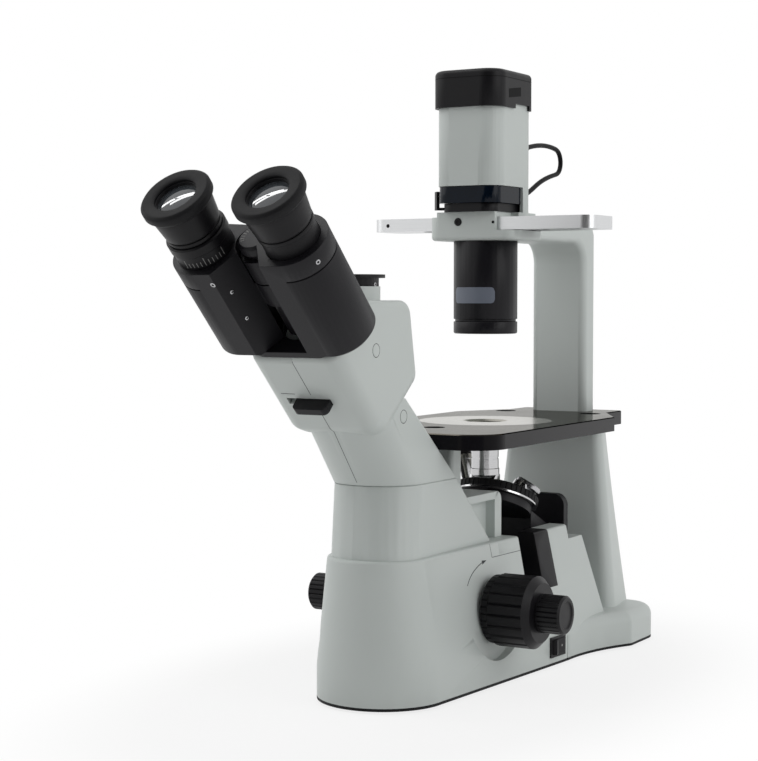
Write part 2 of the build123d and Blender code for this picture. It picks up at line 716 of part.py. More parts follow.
def make_head():
    """Head with its neck as one form, before it is divided in two halves."""
    face_front = slope_point(HEAD_FACE_S, HEAD_FRONT_DROP)
    front_end = slope_point(HEAD_FRONT_END_S, HEAD_FRONT_DROP)
    lean = radians(INCLINE)
    face_mid = slope_point(HEAD_FACE_S, 0)
    top_front_y = face_mid[0] + (HEAD_TOP_Z - face_mid[1]) * tan(lean)
    outline = make_face(Polyline(
        face_front, front_end, HEAD_CHIN, HEAD_HEEL, HEAD_BACK, (HEAD_BACK_TOP_Y, HEAD_TOP_Z),
        (top_front_y, HEAD_TOP_Z), close=True,
    ))
    top_back = [v for v in outline.vertices() if v.X > HEAD_BACK_TOP_Y - 1 and v.Y > HEAD_TOP_Z - 1]
    outline = fillet(top_back, HEAD_TOP_R)
    chin = [v for v in outline.vertices() if v.Y < front_end[1] + 1]
    outline = fillet(chin, HEAD_CHIN_R)
    block = extrude(Plane.YZ * outline, amount=HEAD_HALF, both=True)
    block = fillet(head_rims(block, True), HEAD_FRONT_R)
    block = fillet(head_rims(block, False), HEAD_EDGE_R)
    seam = tower_section(SEAM_Z, SEAM_HALF, SEAM_FRONT_Y, SEAM_REAR_Y)
    top = tower_section(NECK_TOP_Z, SEAM_HALF, NECK_TOP_FRONT_Y, NECK_TOP_REAR_Y)
    neck = loft([seam, top], ruled=True)
    port = rod(PORT_NECK_R, HEAD_TOP_Z - HEAD_TOP_R, HEAD_TOP_Z + PORT_NECK_H, 0, PORT_Y)
    stage_room = box(
        -HEAD_HALF, HEAD_HALF, STAGE_FRONT_Y - STAGE_ROOM, SEAM_REAR_Y, STAGE_BOTTOM_Z - STAGE_ROOM, NECK_TOP_Z)
    rim = Pos(0, 0, SEAM_Z) * tower_section(0, SEAM_HALF, SEAM_FRONT_Y, SEAM_REAR_Y)
    groove = extrude(offset(rim, 2 * SEAM_GROOVE), SEAM_GROOVE) - extrude(offset(rim, -SEAM_GROOVE), SEAM_GROOVE)
    return block + (neck - stage_room - groove) + port


def selector_slot():
    """Slot for the beam selector, longer on the side to which it is pushed."""
    half = SELECTOR_T / 2 + RUN_GAP
    return HEAD_FRAME.location * box(
        -SELECTOR_HALF - SELECTOR_TRAVEL - RUN_GAP, SELECTOR_HALF + RUN_GAP, 0, HEAD_FRONT_DROP + 1,
        SELECTOR_S - half, SELECTOR_S + half,
    )


def prism_room():
    """Room in the head for the splitter prism and its carrier."""
    s0, s1 = HEAD_CAVITY_S
    return HEAD_FRAME.location * box(
        -HEAD_CAVITY_HALF, HEAD_CAVITY_HALF, -HEAD_CAVITY_UP, HEAD_CAVITY_DOWN, s0, s1)


def make_head_shells():
    """Left and right half of the head, parted in the middle plane."""
    port = rod(PORT_LIGHT_R, HEAD_TOP_Z - 2 * PORT_LIGHT_R, HEAD_TOP_Z + PORT_NECK_H, 0, PORT_Y)
    head = make_head() - light_path() - prism_room() - port
    half = split(head, bisect_by=Plane.YZ, keep=Keep.TOP)
    return mirrored(half, -1) - selector_slot(), half - selector_slot()


def make_port():
    """Black camera port: ring, flange, and the cover that closes its bore."""
    base = HEAD_TOP_Z + PORT_NECK_H
    lip = base + PORT_RING_H
    top = lip + PORT_FLANGE_H
    ring = turned((0, base), (PORT_RING_R, base), (PORT_RING_R, lip), (PORT_FLANGE_R, lip), (PORT_FLANGE_R, top),
                  (PORT_BORE_R, top), (PORT_BORE_R, top - PORT_RECESS), (0, top - PORT_RECESS))
    return Pos(0, PORT_Y, 0) * ring


def make_flange():
    """Black base of the eyepiece unit on the sloping face of the head."""
    plate = extrude(Pos(0, 0, FLANGE_S) * RectangleRounded(FLANGE_W, FLANGE_H, FLANGE_R), HEAD_FACE_S - FLANGE_S)
    return HEAD_FRAME.location * (plate - rod(FLANGE_BORE_R, FLANGE_S, HEAD_FACE_S))


def make_hinge_post():
    """Hollow hinge post with windows for the light to both arms, and a cap with a bevel."""
    cap_s = POST_TOP_S - POST_CAP_T
    post = turned(
        (0, POST_TOP_S), (POST_R, POST_TOP_S), (POST_R, FLANGE_S), (POST_BORE_R, FLANGE_S),
        (POST_BORE_R, PRISM_S - 2), (0, PRISM_S - 2),
    )
    cap = turned((0, cap_s), (POST_CAP_R - 2, cap_s), (POST_CAP_R, cap_s + 2), (POST_CAP_R, POST_TOP_S), (0, POST_TOP_S))
    window_s = PRISM_S + PRISM_SIDE / 2
    window = rod_x(PRISM_SIDE / 2 - 1, -POST_R, POST_R, 0, window_s)
    return HEAD_FRAME.location * (post + cap - window)


def arm_frame_block(x0, x1, half, s0, s1):
    """A block along the line from the hinge to the eyepiece tube."""
    return Rot(0, 0, ARM_DROP) * box(x0, x1, -half, half, s0, s1)


def make_prism_housing(side):
    """Prism housing of one arm, with its hinge knuckle, in the sloping frame."""
    top = HOUSING_TOP_S[side]
    k0, k1 = KNUCKLE_S[side]
    end = FLANGE_S - RUN_GAP
    low = TUBE_DROP + HOUSING_R
    outer = ThreePointArc(
        (TUBE_X, TUBE_DROP - HOUSING_R), (TUBE_X + HOUSING_R, TUBE_DROP), (TUBE_X, low)
    )
    inner = Polyline(
        (TUBE_X, low), (HOUSING_LOW_X, low), (HOUSING_INNER_X, HOUSING_INNER_X),
        (HOUSING_INNER_X, -HOUSING_UPPER), (TUBE_X, TUBE_DROP - HOUSING_R),
    )
    section = make_face(outer.edges() + inner.edges())
    block = extrude(Pos(0, 0, top) * section, amount=end - top)
    block = chamfer(block.faces().sort_by(Axis.Z)[-1].edges().filter_by(GeomType.CIRCLE), HOUSING_BEVEL)
    relief_r = KNUCKLE_R + 0.5
    relief = rod(relief_r, top, k0) + rod(relief_r, k1, end)
    knuckle = rod(KNUCKLE_R, k0, k1) + box(0, TUBE_X - TUBE_R - 2, -KNUCKLE_WEB, KNUCKLE_WEB, k0, k1)
    seat = rod(TUBE_R + SEAT_GAP, top, TUBE_SEAT_S, TUBE_X, TUBE_DROP)
    light = rod(ARM_LIGHT_R, TUBE_SEAT_S, PRISM_S, TUBE_X, TUBE_DROP)
    pocket = arm_frame_block(
        POST_R, ARM_R + PRISM_SIDE / 2 + SEAT_GAP, PRISM_SIDE / 2 + SEAT_GAP, PRISM_S, end
    )
    groove_s = top + HOUSING_LAND_S
    ring = rod(HOUSING_R + 1, groove_s, groove_s + HOUSING_GROOVE) - rod(
        HOUSING_R - HOUSING_GROOVE, groove_s, groove_s + HOUSING_GROOVE)
    groove = Pos(TUBE_X, TUBE_DROP, 0) * (ring & box(0, 2 * HOUSING_R, -HOUSING_R, HOUSING_R, top, end))
    solid = block - relief + knuckle - rod(POST_R + SHAFT_GAP, top, end) - seat - light - pocket - groove
    return HEAD_FRAME.location * mirrored(solid, side)


def on_tube(solid, side):
    """Place a turned solid on the axis of one eyepiece tube."""
    return HEAD_FRAME.location * Pos(side * TUBE_X, TUBE_DROP, 0) * solid


def make_eyepiece_tube(side):
    """Sleeve that takes an eyepiece."""
    tube = turned(
        (TUBE_BORE_R, TUBE_TOP_S), (TUBE_R, TUBE_TOP_S), (TUBE_R, TUBE_SEAT_S), (TUBE_BORE_R, TUBE_SEAT_S)
    )
    return on_tube(tube, side)


def make_eyepiece(side):
    """Eyepiece body: tapered barrel with a groove, and the sleeve that slips into the tube."""
    groove = TUBE_TOP_S - 4
    body = turned(
        (EYEPIECE_BORE_R, EYEPIECE_TOP_S + EYELENS_T + 1), (EYELENS_R + SEAT_GAP, EYEPIECE_TOP_S + EYELENS_T + 1),
        (EYELENS_R + SEAT_GAP, EYEPIECE_TOP_S), (EYEPIECE_TOP_R, EYEPIECE_TOP_S),
        (EYEPIECE_TOP_R, EYECUP_LEN + 2), (EYEPIECE_END_R, groove), (EYEPIECE_END_R - 1, groove),
        (EYEPIECE_END_R - 1, groove + 1), (EYEPIECE_END_R, groove + 1), (EYEPIECE_END_R, TUBE_TOP_S),
        (EYEPIECE_SLEEVE_R, TUBE_TOP_S), (EYEPIECE_SLEEVE_R, EYEPIECE_SLEEVE_END_S),
        (EYEPIECE_BORE_R, EYEPIECE_SLEEVE_END_S),
    )
    return on_tube(body, side)


def make_eyelens(side):
    """Domed eye lens in the top of the eyepiece."""
    top = EYEPIECE_TOP_S + 1
    rim = top + 1.5
    end = EYEPIECE_TOP_S + EYELENS_T + 1
    dome = ThreePointArc((-EYELENS_R, rim), (0, top), (EYELENS_R, rim))
    half = make_face(dome.edges() + Polyline((EYELENS_R, rim), (EYELENS_R, end), (-EYELENS_R, end),
                                             (-EYELENS_R, rim)).edges())
    half = half & Pos(EYELENS_R, end / 2) * Rectangle(2 * EYELENS_R, 4 * end)
    return on_tube(revolve(Plane.XZ * half, Axis.Z), side)


def make_eyecup(side):
    """Rubber eyecup round the top of the eyepiece, with a soft outer edge."""
    fit = EYEPIECE_TOP_R + SEAT_GAP
    cup = turned(
        (EYECUP_LIP_R, 1.2), (EYECUP_LIP_R + 2, 0.4), (EYECUP_R - 2, 0), (EYECUP_R, EYECUP_EDGE_S), (EYECUP_R, 6.2),
        (fit + 1, EYECUP_LEN), (fit, EYECUP_LEN), (fit, EYEPIECE_TOP_S), (EYECUP_LIP_R, EYEPIECE_TOP_S),
    )
    return on_tube(cup, side)


def make_diopter_ring():
    """Graduated ring with a raised grip that turns on the left tube."""
    s0 = TUBE_TOP_S + RUN_GAP
    s1 = HOUSING_TOP_S[-1] - RUN_GAP
    bore = TUBE_R + SHAFT_GAP
    grip = s0 + DIOPTER_GRIP_L
    ring = turned(
        (bore, s0), (DIOPTER_R - 1, s0), (DIOPTER_R, s0 + 1), (DIOPTER_R, grip - 1), (DIOPTER_R - 1, grip),
        (DIOPTER_R - 1, s1), (bore, s1),
    )
    return on_tube(ring, -1)


def make_selector():
    """Beam selector tab with its stem and the carrier for the splitter prism."""
    half = SELECTOR_T / 2
    grip = box(-SELECTOR_HALF, SELECTOR_HALF, HEAD_FRONT_DROP - 3, HEAD_FRONT_DROP + SELECTOR_OUT,
               SELECTOR_S - half, SELECTOR_S + half)
    grip = fillet(grip.edges().filter_by(Axis.Z).group_by(Axis.Y)[-1], 4)
    stem = box(-SELECTOR_HALF, SELECTOR_HALF, SPLITTER_SIDE / 2, HEAD_FRONT_DROP, SELECTOR_S - half, SELECTOR_S + half)
    carrier = box(
        -SPLITTER_SIDE / 2, SPLITTER_SIDE / 2, SPLITTER_SIDE / 2, HEAD_CAVITY_DOWN - RUN_GAP,
        SELECTOR_S - SPLITTER_SIDE / 2, SELECTOR_S + SPLITTER_SIDE / 2,
    )
    return HEAD_FRAME.location * (grip + stem + carrier)


def make_splitter():
    """Splitter prism that the selector moves into the light."""
    half = SPLITTER_SIDE / 2
    return HEAD_FRAME.location * box(-half, half, -half, half, SELECTOR_S - half, SELECTOR_S + half)


def make_stage():
    """Stage plate with rounded front, chamfered back and a tongue under the column."""
    plan = make_face(Polyline(
        (-STAGE_HALF, STAGE_FRONT_Y), (STAGE_HALF, STAGE_FRONT_Y), (STAGE_HALF, STAGE_SIDE_END_Y),
        (TONGUE_HALF, TONGUE_Y), (TONGUE_HALF, TONGUE_REAR_Y), (-TONGUE_HALF, TONGUE_REAR_Y),
        (-TONGUE_HALF, TONGUE_Y), (-STAGE_HALF, STAGE_SIDE_END_Y), close=True,
    ))
    plan = fillet(plan.vertices().group_by(Axis.Y)[0], STAGE_FRONT_R)
    plan = fillet(plan.vertices().group_by(Axis.Y)[-1], STAGE_CORNER_R)
    plate = extrude(Pos(0, 0, STAGE_BOTTOM_Z) * plan, amount=STAGE_T)
    plate = chamfer(plate.faces().sort_by(Axis.Z)[-1].edges(), STAGE_EDGE)
    cuts = [rod(STAGE_HOLE_R, STAGE_BOTTOM_Z, STAGE_TOP_Z)]
    cuts.append(rod(INSERT_R + SEAT_GAP, STAGE_TOP_Z - INSERT_T, STAGE_TOP_Z))
    for x, y in ACCESSORY_HOLES:
        cuts.append(rod(ACCESSORY_SINK_R, STAGE_TOP_Z - ACCESSORY_SINK_T, STAGE_TOP_Z, x, y))
        cuts.append(rod(ACCESSORY_R, STAGE_BOTTOM_Z, STAGE_TOP_Z, x, y))
    return plate - cuts


def make_insert():
    """Round stage insert with the viewing hole, bevelled from above."""
    low = STAGE_TOP_Z - INSERT_T
    return turned(
        (INSERT_HOLE_R, low), (INSERT_R, low), (INSERT_R, STAGE_TOP_Z), (INSERT_HOLE_R + 2, STAGE_TOP_Z),
        (INSERT_HOLE_R, STAGE_TOP_Z - 1.5),
    )


def make_arm_casting():
    """Upper column, arm and condenser holder in one casting."""
    lean = cos(radians(45))
    inner_y = COLUMN_FRONT_Y - ARM_INNER_R
    inner_z = ARM_BOTTOM_Z - ARM_INNER_R
    inner = ThreePointArc((COLUMN_FRONT_Y, inner_z), (inner_y + ARM_INNER_R * lean, inner_z + ARM_INNER_R * lean),
                          (inner_y, ARM_BOTTOM_Z))
    outer_y = COLUMN_REAR_Y - ARM_OUTER_R
    outer_z = ARM_TOP_Z - ARM_OUTER_R
    outer = ThreePointArc((outer_y, ARM_TOP_Z), (outer_y + ARM_OUTER_R * lean, outer_z + ARM_OUTER_R * lean),
                          (COLUMN_REAR_Y, outer_z))
    under = Polyline((COLUMN_FRONT_Y - ARM_INNER_R, ARM_BOTTOM_Z), (0, ARM_BOTTOM_Z), (0, ARM_TOP_Z),
                     (COLUMN_REAR_Y - ARM_OUTER_R, ARM_TOP_Z))
    back = Polyline((COLUMN_REAR_Y, ARM_TOP_Z - ARM_OUTER_R), (COLUMN_REAR_Y, STAGE_TOP_Z),
                    (COLUMN_FRONT_Y, STAGE_TOP_Z), (COLUMN_FRONT_Y, ARM_BOTTOM_Z - ARM_INNER_R))
    outline = make_face(inner.edges() + under.edges() + outer.edges() + back.edges())
    column = extrude(Plane.YZ * outline, amount=COLUMN_HALF, both=True)
    rims = [
        e for e in column.edges()
        if abs(abs(e.center().X) - COLUMN_HALF) < SEAT_GAP
        and e.center().Z > STAGE_TOP_Z + 1 and e.center().Y > 1
    ]
    column = fillet(rims, COLUMN_EDGE_R)
    holder = rounded_block(
        HOLDER_HALF, HOLDER_FRONT_Y, HOLDER_REAR_Y, HOLDER_BOTTOM_Z, HOLDER_TOP_Z, HOLDER_R, HOLDER_R)
    holder = fillet(holder.faces().sort_by(Axis.Z)[0].edges(), HOLDER_EDGE_R)
    ends = box(HOLDER_TOP_HALF, HOLDER_HALF, HOLDER_FRONT_Y, HOLDER_REAR_Y, SLIDER_TOP_Z + RUN_GAP, HOLDER_TOP_Z)
    slot = box(
        -HOLDER_HALF, HOLDER_HALF, -SLIDER_HALF_W - RUN_GAP, SLIDER_HALF_W + RUN_GAP,
        SLIDER_BOTTOM_Z - RUN_GAP, SLIDER_TOP_Z + RUN_GAP,
    )
    front_end = box(HOLDER_WALL_END_X, HOLDER_HALF, HOLDER_FRONT_Y, 0, SLIDER_BOTTOM_Z - RUN_GAP, HOLDER_TOP_Z)
    light = rod(HOLDER_LIGHT_R, HOLDER_BOTTOM_Z, HOLDER_TOP_Z)
    return column + holder - [ends, mirrored(ends, -1), slot, front_end, light]


def make_slider():
    """Phase slider: flat bar with three apertures, two of them stepped for a phase ring."""
    mid = (SLIDER_LEFT_X + SLIDER_RIGHT_X) / 2
    length = SLIDER_RIGHT_X - SLIDER_LEFT_X
    bar = extrude(
        Pos(mid, 0, SLIDER_BOTTOM_Z) * RectangleRounded(length, 2 * SLIDER_HALF_W, SLIDER_CORNER_R), SLIDER_T)
    through = SLIDER_APERTURE_R - 2
    cuts = []
    for x in (-SLIDER_PITCH, 0, SLIDER_PITCH):
        cuts.append(rod(through, SLIDER_BOTTOM_Z, SLIDER_TOP_Z, x))
        cuts.append(rod(SLIDER_APERTURE_R, SLIDER_TOP_Z - SLIDER_RING_T, SLIDER_TOP_Z, x))
    return bar - cuts


def make_condenser_tube():
    """Black condenser tube under the holder, with a groove above the end ring."""
    ring_top = CONDENSER_BOTTOM_Z + CONDENSER_RING_H
    return turned(
        (CONDENSER_BORE_R, ring_top), (CONDENSER_R - CONDENSER_GROOVE, ring_top),
        (CONDENSER_R - CONDENSER_GROOVE, ring_top + CONDENSER_GROOVE_H),
        (CONDENSER_R, ring_top + CONDENSER_GROOVE_H), (CONDENSER_R, HOLDER_BOTTOM_Z),
        (CONDENSER_BORE_R, HOLDER_BOTTOM_Z),
    )


def make_condenser_ring():
    """End ring of the condenser with the seat for its lens."""
    ring_top = CONDENSER_BOTTOM_Z + CONDENSER_RING_H
    lip = CONDENSER_LENS_R - 2
    return turned(
        (lip, CONDENSER_BOTTOM_Z + 1), (CONDENSER_R - 1, CONDENSER_BOTTOM_Z), (CONDENSER_R, CONDENSER_BOTTOM_Z + 1),
        (CONDENSER_R, ring_top), (CONDENSER_LENS_R + SEAT_GAP, ring_top),
        (CONDENSER_LENS_R + SEAT_GAP, CONDENSER_BOTTOM_Z + 3), (lip, CONDENSER_BOTTOM_Z + 3),
    )


def lens_solid(radius, thickness, bulge):
    """Plano-convex lens: flat below, domed above, from its flat side at Z 0."""
    ball = (radius * radius + bulge * bulge) / (2 * bulge)
    return rod(radius, 0, thickness) & Pos(0, 0, thickness - ball) * Sphere(ball)


def make_condenser_lens():
    """Condenser lens on the lip of the end ring."""
    return Pos(0, 0, CONDENSER_BOTTOM_Z + 3) * lens_solid(CONDENSER_LENS_R, CONDENSER_LENS_T, 2.5)


def make_lamp_seat():
    """Black plate under the lamp, slotted for the iris lever."""
    seat = rounded_block(SEAT_HALF, SEAT_FRONT_Y, SEAT_REAR_Y, HOLDER_TOP_Z, SEAT_TOP_Z, SEAT_R, 2)
    reach = 2 * IRIS_LEVER_R
    edge = Vector(IRIS_LEVER_HALF + 1, IRIS_OUT_R).get_angle(Vector(0, 1))
    angles = [IRIS_LEVER_ANGLE + edge, IRIS_LEVER_ANGLE - IRIS_SWING / 2, IRIS_LEVER_ANGLE - IRIS_SWING - edge]
    corners = [(reach * cos(radians(a)), reach * sin(radians(a))) for a in angles]
    sweep = extrude(
        Pos(0, 0, IRIS_Z - RUN_GAP) * make_face(Polyline((0, 0), *corners, close=True)), IRIS_T + 2 * RUN_GAP)
    ring = rod(IRIS_OUT_R + RUN_GAP, IRIS_Z - RUN_GAP, IRIS_Z + IRIS_T + RUN_GAP)
    return seat - rod(LAMP_LIGHT_R, HOLDER_TOP_Z, SEAT_TOP_Z) - ring - sweep


def make_iris():
    """Iris ring with a lever that turns up outside the lamp seat."""
    ring = rod(IRIS_OUT_R, IRIS_Z, IRIS_Z + IRIS_T) - rod(LAMP_LIGHT_R - 2, IRIS_Z, IRIS_Z + IRIS_T)
    lever = box(LAMP_LIGHT_R, IRIS_LEVER_R, -IRIS_LEVER_HALF, IRIS_LEVER_HALF, IRIS_Z, IRIS_Z + IRIS_T)
    tab = box(IRIS_LEVER_R - IRIS_LEVER_T, IRIS_LEVER_R, -IRIS_LEVER_HALF, IRIS_LEVER_HALF, IRIS_Z, IRIS_LEVER_TOP_Z)
    return ring + Rot(0, 0, IRIS_LEVER_ANGLE) * (lever + tab)


def make_drawer():
    """Filter drawer that slides forward between lamp seat and lamp house."""
    z0 = SEAT_TOP_Z + RUN_GAP
    z1 = HOUSE_BOTTOM_Z - RUN_GAP
    front = rounded_block(DRAWER_HALF, DRAWER_FRONT_Y, DRAWER_SHOULDER_Y, z0, z1, DRAWER_R, 1)
    tongue = box(-DRAWER_TONGUE_HALF, DRAWER_TONGUE_HALF, 0, DRAWER_REAR_Y, z0, z1)
    hole = rod(FILTER_R - 2, z0, z1)
    seat = rod(FILTER_R + SEAT_GAP, z1 - FILTER_T, z1)
    return front + tongue - hole - seat


def make_lamp_house():
    """Lamp house: a shell with a floor, and a rear skirt that stands on the holder."""
    shell = rounded_block(HOUSE_HALF, HOUSE_FRONT_Y, HOUSE_REAR_Y, HOUSE_LEG_Z, HOUSE_TOP_Z, HOUSE_R, 4)
    hollow_half = HOUSE_HALF - HOUSE_WALL
    floor_top = HOUSE_BOTTOM_Z + HOUSE_FLOOR_T
    hollow = rounded_block(hollow_half, HOUSE_FRONT_Y + HOUSE_WALL, HOUSE_REAR_Y - HOUSE_WALL, floor_top,
                           HOUSE_TOP_Z, HOUSE_R - HOUSE_WALL, 1.2)
    window = box(-HOUSE_HALF, HOUSE_HALF, HOUSE_FRONT_Y, HOUSE_LEG_Y, HOUSE_LEG_Z, HOUSE_BOTTOM_Z)
    skirt = box(-hollow_half, hollow_half, HOUSE_LEG_Y, HOUSE_REAR_Y - HOUSE_WALL, HOUSE_LEG_Z, HOUSE_BOTTOM_Z)
    light = rod(LAMP_LIGHT_R, HOUSE_BOTTOM_Z, floor_top)
    glands = [lead_gland_rod(i, GLAND_WALL_R + SEAT_GAP, -HOUSE_WALL, 0) for i in (0, -1)]
    return shell - hollow - window - skirt - light - glands


def lamp_cap_notches():
    """Finger notches in both lower edges of the cap, where the lamp house shows."""
    y0, y1 = LAMP_CAP_NOTCH
    notch = box(
        HOUSE_HALF - LAMP_CAP_OVER, HOUSE_HALF + 2 * LAMP_CAP_OVER, y0, y1, LAMP_CAP_BOTTOM_Z,
        LAMP_CAP_BOTTOM_Z + LAMP_CAP_NOTCH_H,
    )
    return notch + mirrored(notch, -1)


def make_lamp_cap():
    """Black cap over the lamp house, hollow below, with a soft top edge and a parting groove."""
    half = HOUSE_HALF + LAMP_CAP_OVER
    y0 = HOUSE_FRONT_Y - LAMP_CAP_OVER
    y1 = HOUSE_REAR_Y + LAMP_CAP_OVER / 2
    cap = rounded_block(half, y0, y1, LAMP_CAP_BOTTOM_Z, LAMP_CAP_TOP_Z, HOUSE_R, 5)
    cap = fillet(cap.faces().sort_by(Axis.Z)[-1].edges(), LAMP_CAP_EDGE_R)
    room = rounded_block(HOUSE_HALF + SEAT_GAP, HOUSE_FRONT_Y - SEAT_GAP, HOUSE_REAR_Y + SEAT_GAP,
                         LAMP_CAP_BOTTOM_Z, HOUSE_TOP_Z, HOUSE_R, 4)
    return cap - room - lamp_cap_notches()


def make_bulb():
    """Lamp on its socket, which hangs from the cap."""
    z1 = HOUSE_TOP_Z - SOCKET_T
    z0 = z1 - BULB_H
    end = Pos(0, 0, z0 + BULB_R) * Sphere(BULB_R)
    return end + rod(BULB_R, z0 + BULB_R, z1) + rod(SOCKET_R, z1, HOUSE_TOP_Z)


def lead_points():
    """Points of the lead behind the lamp house."""
    return [Vector(LEAD_X, HOUSE_REAR_Y + y, HOUSE_BOTTOM_Z + z) for y, z in LEAD_ROUTE]


def lead_gland_rod(end, radius, inner, outer):
    """A round bar in line with one end of the lead, from the rear wall of the lamp house."""
    z = HOUSE_BOTTOM_Z + LEAD_ROUTE[end][1]
    y0 = HOUSE_REAR_Y + inner
    y1 = HOUSE_REAR_Y + outer
    return Pos(LEAD_X, (y0 + y1) / 2, z) * Rot(90, 0, 0) * Cylinder(radius, y1 - y0)


def make_glands():
    """Sleeves at both ends of the lead."""
    sleeves = []
    for end in (0, -1):
        reach = LEAD_ROUTE[end][0]
        sleeves.append(lead_gland_rod(end, GLAND_R, 0, reach) + lead_gland_rod(end, GLAND_WALL_R, -HOUSE_WALL, 0))
    return Compound(sleeves)


def make_lead():
    """Lamp lead as straight runs joined by tangent arcs."""
    points = lead_points()
    radii = []
    for a, b, c in zip(points, points[1:], points[2:]):
        turn = (b - a).get_angle(c - b)
        radii.append(0.45 * min((b - a).length, (c - b).length) / tan(radians(turn / 2)))
    print("lead radii", [round(r, 1) for r in radii])
    path = FilletPolyline(*points, radius=radii)
    start = Plane(origin=path @ 0, z_dir=path % 0)
    tube = sweep(start * Circle(LEAD_R), path=path)
    print("lead length", round(path.length, 1), "volume ratio", tube.volume / (path.length * Circle(LEAD_R).area))
    return tube


def station(i):
    """Turn about the turret axis that brings a solid from the light path to a station."""
    return TURRET_FRAME.location * Rot(0, 0, 360 * i / TURRET_STATIONS) * TURRET_FRAME.location.inverse()


def make_turret():
    """Tilted bright turret with a seat for the grip ring and a socket for each station."""
    disc = turned(
        (PIVOT_R + SHAFT_GAP, -TURRET_T), (TURRET_R, -TURRET_T), (TURRET_R, GRIP_BOTTOM - TURRET_T),
        (GRIP_SEAT_R, GRIP_BOTTOM - TURRET_T), (GRIP_SEAT_R, -GRIP_TOP), (GRIP_SEAT_R - GRIP_TOP, 0),
        (PIVOT_R + SHAFT_GAP, 0),
    )
    disc = TURRET_FRAME.location * disc
    boss = rod(SOCKET_BOSS_R, NOSE_CENTRE_Z, OBJECTIVE_SEAT_Z)
    inside = TURRET_FRAME.location * rod(GRIP_SEAT_R, -TURRET_T, TURRET_R)
    hole = rod(SOCKET_LIGHT_R, NOSE_CENTRE_Z - 2 * TURRET_T, OBJECTIVE_SEAT_Z)
    bosses = [station(i) * (boss & inside) for i in range(TURRET_STATIONS)]
    holes = [station(i) * hole for i in range(TURRET_STATIONS)]
    return disc + bosses - holes


def make_turret_grip():
    """Black ribbed grip ring round the turret."""
    low = GRIP_BOTTOM - TURRET_T
    bore = GRIP_SEAT_R + SEAT_GAP
    ring = turned((bore, low), (GRIP_R, low), (GRIP_R, -GRIP_TOP - 1), (GRIP_R - 1, -GRIP_TOP), (bore, -GRIP_TOP))
    rib = Pos(GRIP_R, 0, (low - GRIP_TOP) / 2) * Rot(0, 0, 45) * Box(0.9, 0.9, -GRIP_TOP - low)
    return TURRET_FRAME.location * (ring - [Rot(0, 0, 360 * i / GRIP_RIBS) * rib for i in range(GRIP_RIBS)])


def make_objective(i, tip_z, groove_z):
    """Objective: knurled foot, barrel with a groove, and a tapered front lens mount."""
    z0 = OBJECTIVE_SEAT_Z
    body = turned(
        (0, z0), (OBJECTIVE_R + 0.6, z0), (OBJECTIVE_R + 0.6, z0 + 5), (OBJECTIVE_R, z0 + 5.4),
        (OBJECTIVE_R, groove_z), (OBJECTIVE_R - 0.6, groove_z), (OBJECTIVE_R - 0.6, groove_z + 1.4),
        (OBJECTIVE_R, groove_z + 1.4), (OBJECTIVE_R, tip_z - 12), (OBJECTIVE_TIP_R + 2, tip_z - 5),
        (OBJECTIVE_TIP_R + 1.4, tip_z), (0, tip_z),
    )
    return station(i) * body


def make_objectives():
    """Two objectives of different length; the first stands in the light path."""
    low = make_objective(0, OBJECTIVE_TIP_Z, OBJECTIVE_SEAT_Z + 13)
    high = make_objective(3, OBJECTIVE_TIP_Z - 3, OBJECTIVE_SEAT_Z + 17)
    return Compound([low, high])


def make_socket_plug(i):
    """Plug in an empty station."""
    z0 = OBJECTIVE_SEAT_Z
    plug = turned((0, z0), (OBJECTIVE_R, z0), (OBJECTIVE_R, z0 + 2.5), (OBJECTIVE_R - 1, z0 + 3.5), (0, z0 + 3.5))
    return station(i) * plug


def make_pivot():
    """Bolt that the turret turns on."""
    bolt = rod(PIVOT_R, -TURRET_T - CARRIAGE_PLATE_T, RUN_GAP) + rod(PIVOT_HEAD_R, RUN_GAP, PIVOT_HEAD_T)
    return TURRET_FRAME.location * bolt


def make_carriage():
    """Carriage: tilted plate, guided block behind, fork round the light path, rack block in front."""
    low = -TURRET_T - CARRIAGE_PLATE_T
    plate = TURRET_FRAME.location * rod(CARRIAGE_PLATE_R, low, -TURRET_T - RUN_GAP)
    above = TURRET_FRAME.location * rod(4 * TURRET_R, -TURRET_T - RUN_GAP, 4 * TURRET_R)
    block = box(-CARRIAGE_HALF, CARRIAGE_HALF, CARRIAGE_FRONT_Y, CARRIAGE_REAR_Y, CARRIAGE_BOTTOM_Z, NOSE_CENTRE_Z)
    outer = CARRIAGE_HALF + CHEEK_T - RUN_GAP
    cheeks = box(-outer, outer, RACK_BLOCK_Y, CARRIAGE_REAR_Y, CARRIAGE_BOTTOM_Z, CHEEK_TOP_Z)
    between = box(-CARRIAGE_HALF, CARRIAGE_HALF, RACK_BLOCK_Y, CARRIAGE_FRONT_Y, CARRIAGE_BOTTOM_Z, CHEEK_TOP_Z)
    z0, z1 = RACK_BLOCK_Z
    front = box(-outer, outer, RACK_BLOCK_FRONT_Y, RACK_BLOCK_Y, z0, z1)
    guide = rod(GUIDE_R + SHAFT_GAP, CARRIAGE_BOTTOM_Z, GUIDE_TOP_Z + FOCUS_DOWN + 1, 0, GUIDE_Y)
    light = rod(SOCKET_LIGHT_R + 2, CHEEK_TOP_Z, STAGE_BOTTOM_Z)
    pivot = TURRET_FRAME.location * rod(PIVOT_R + SEAT_GAP, low, 0)
    return (plate + (block - above)) + (cheeks - between) + front - guide - light - pivot


def rack_tooth_outline(z, y0, y1, half_root, half_tip):
    """One straight-sided rack tooth in the Y-Z plane, its tip towards the pinion."""
    return make_face(Polyline((y0, z - half_root), (y1, z - half_tip), (y1, z + half_tip), (y0, z + half_root),
                              close=True))


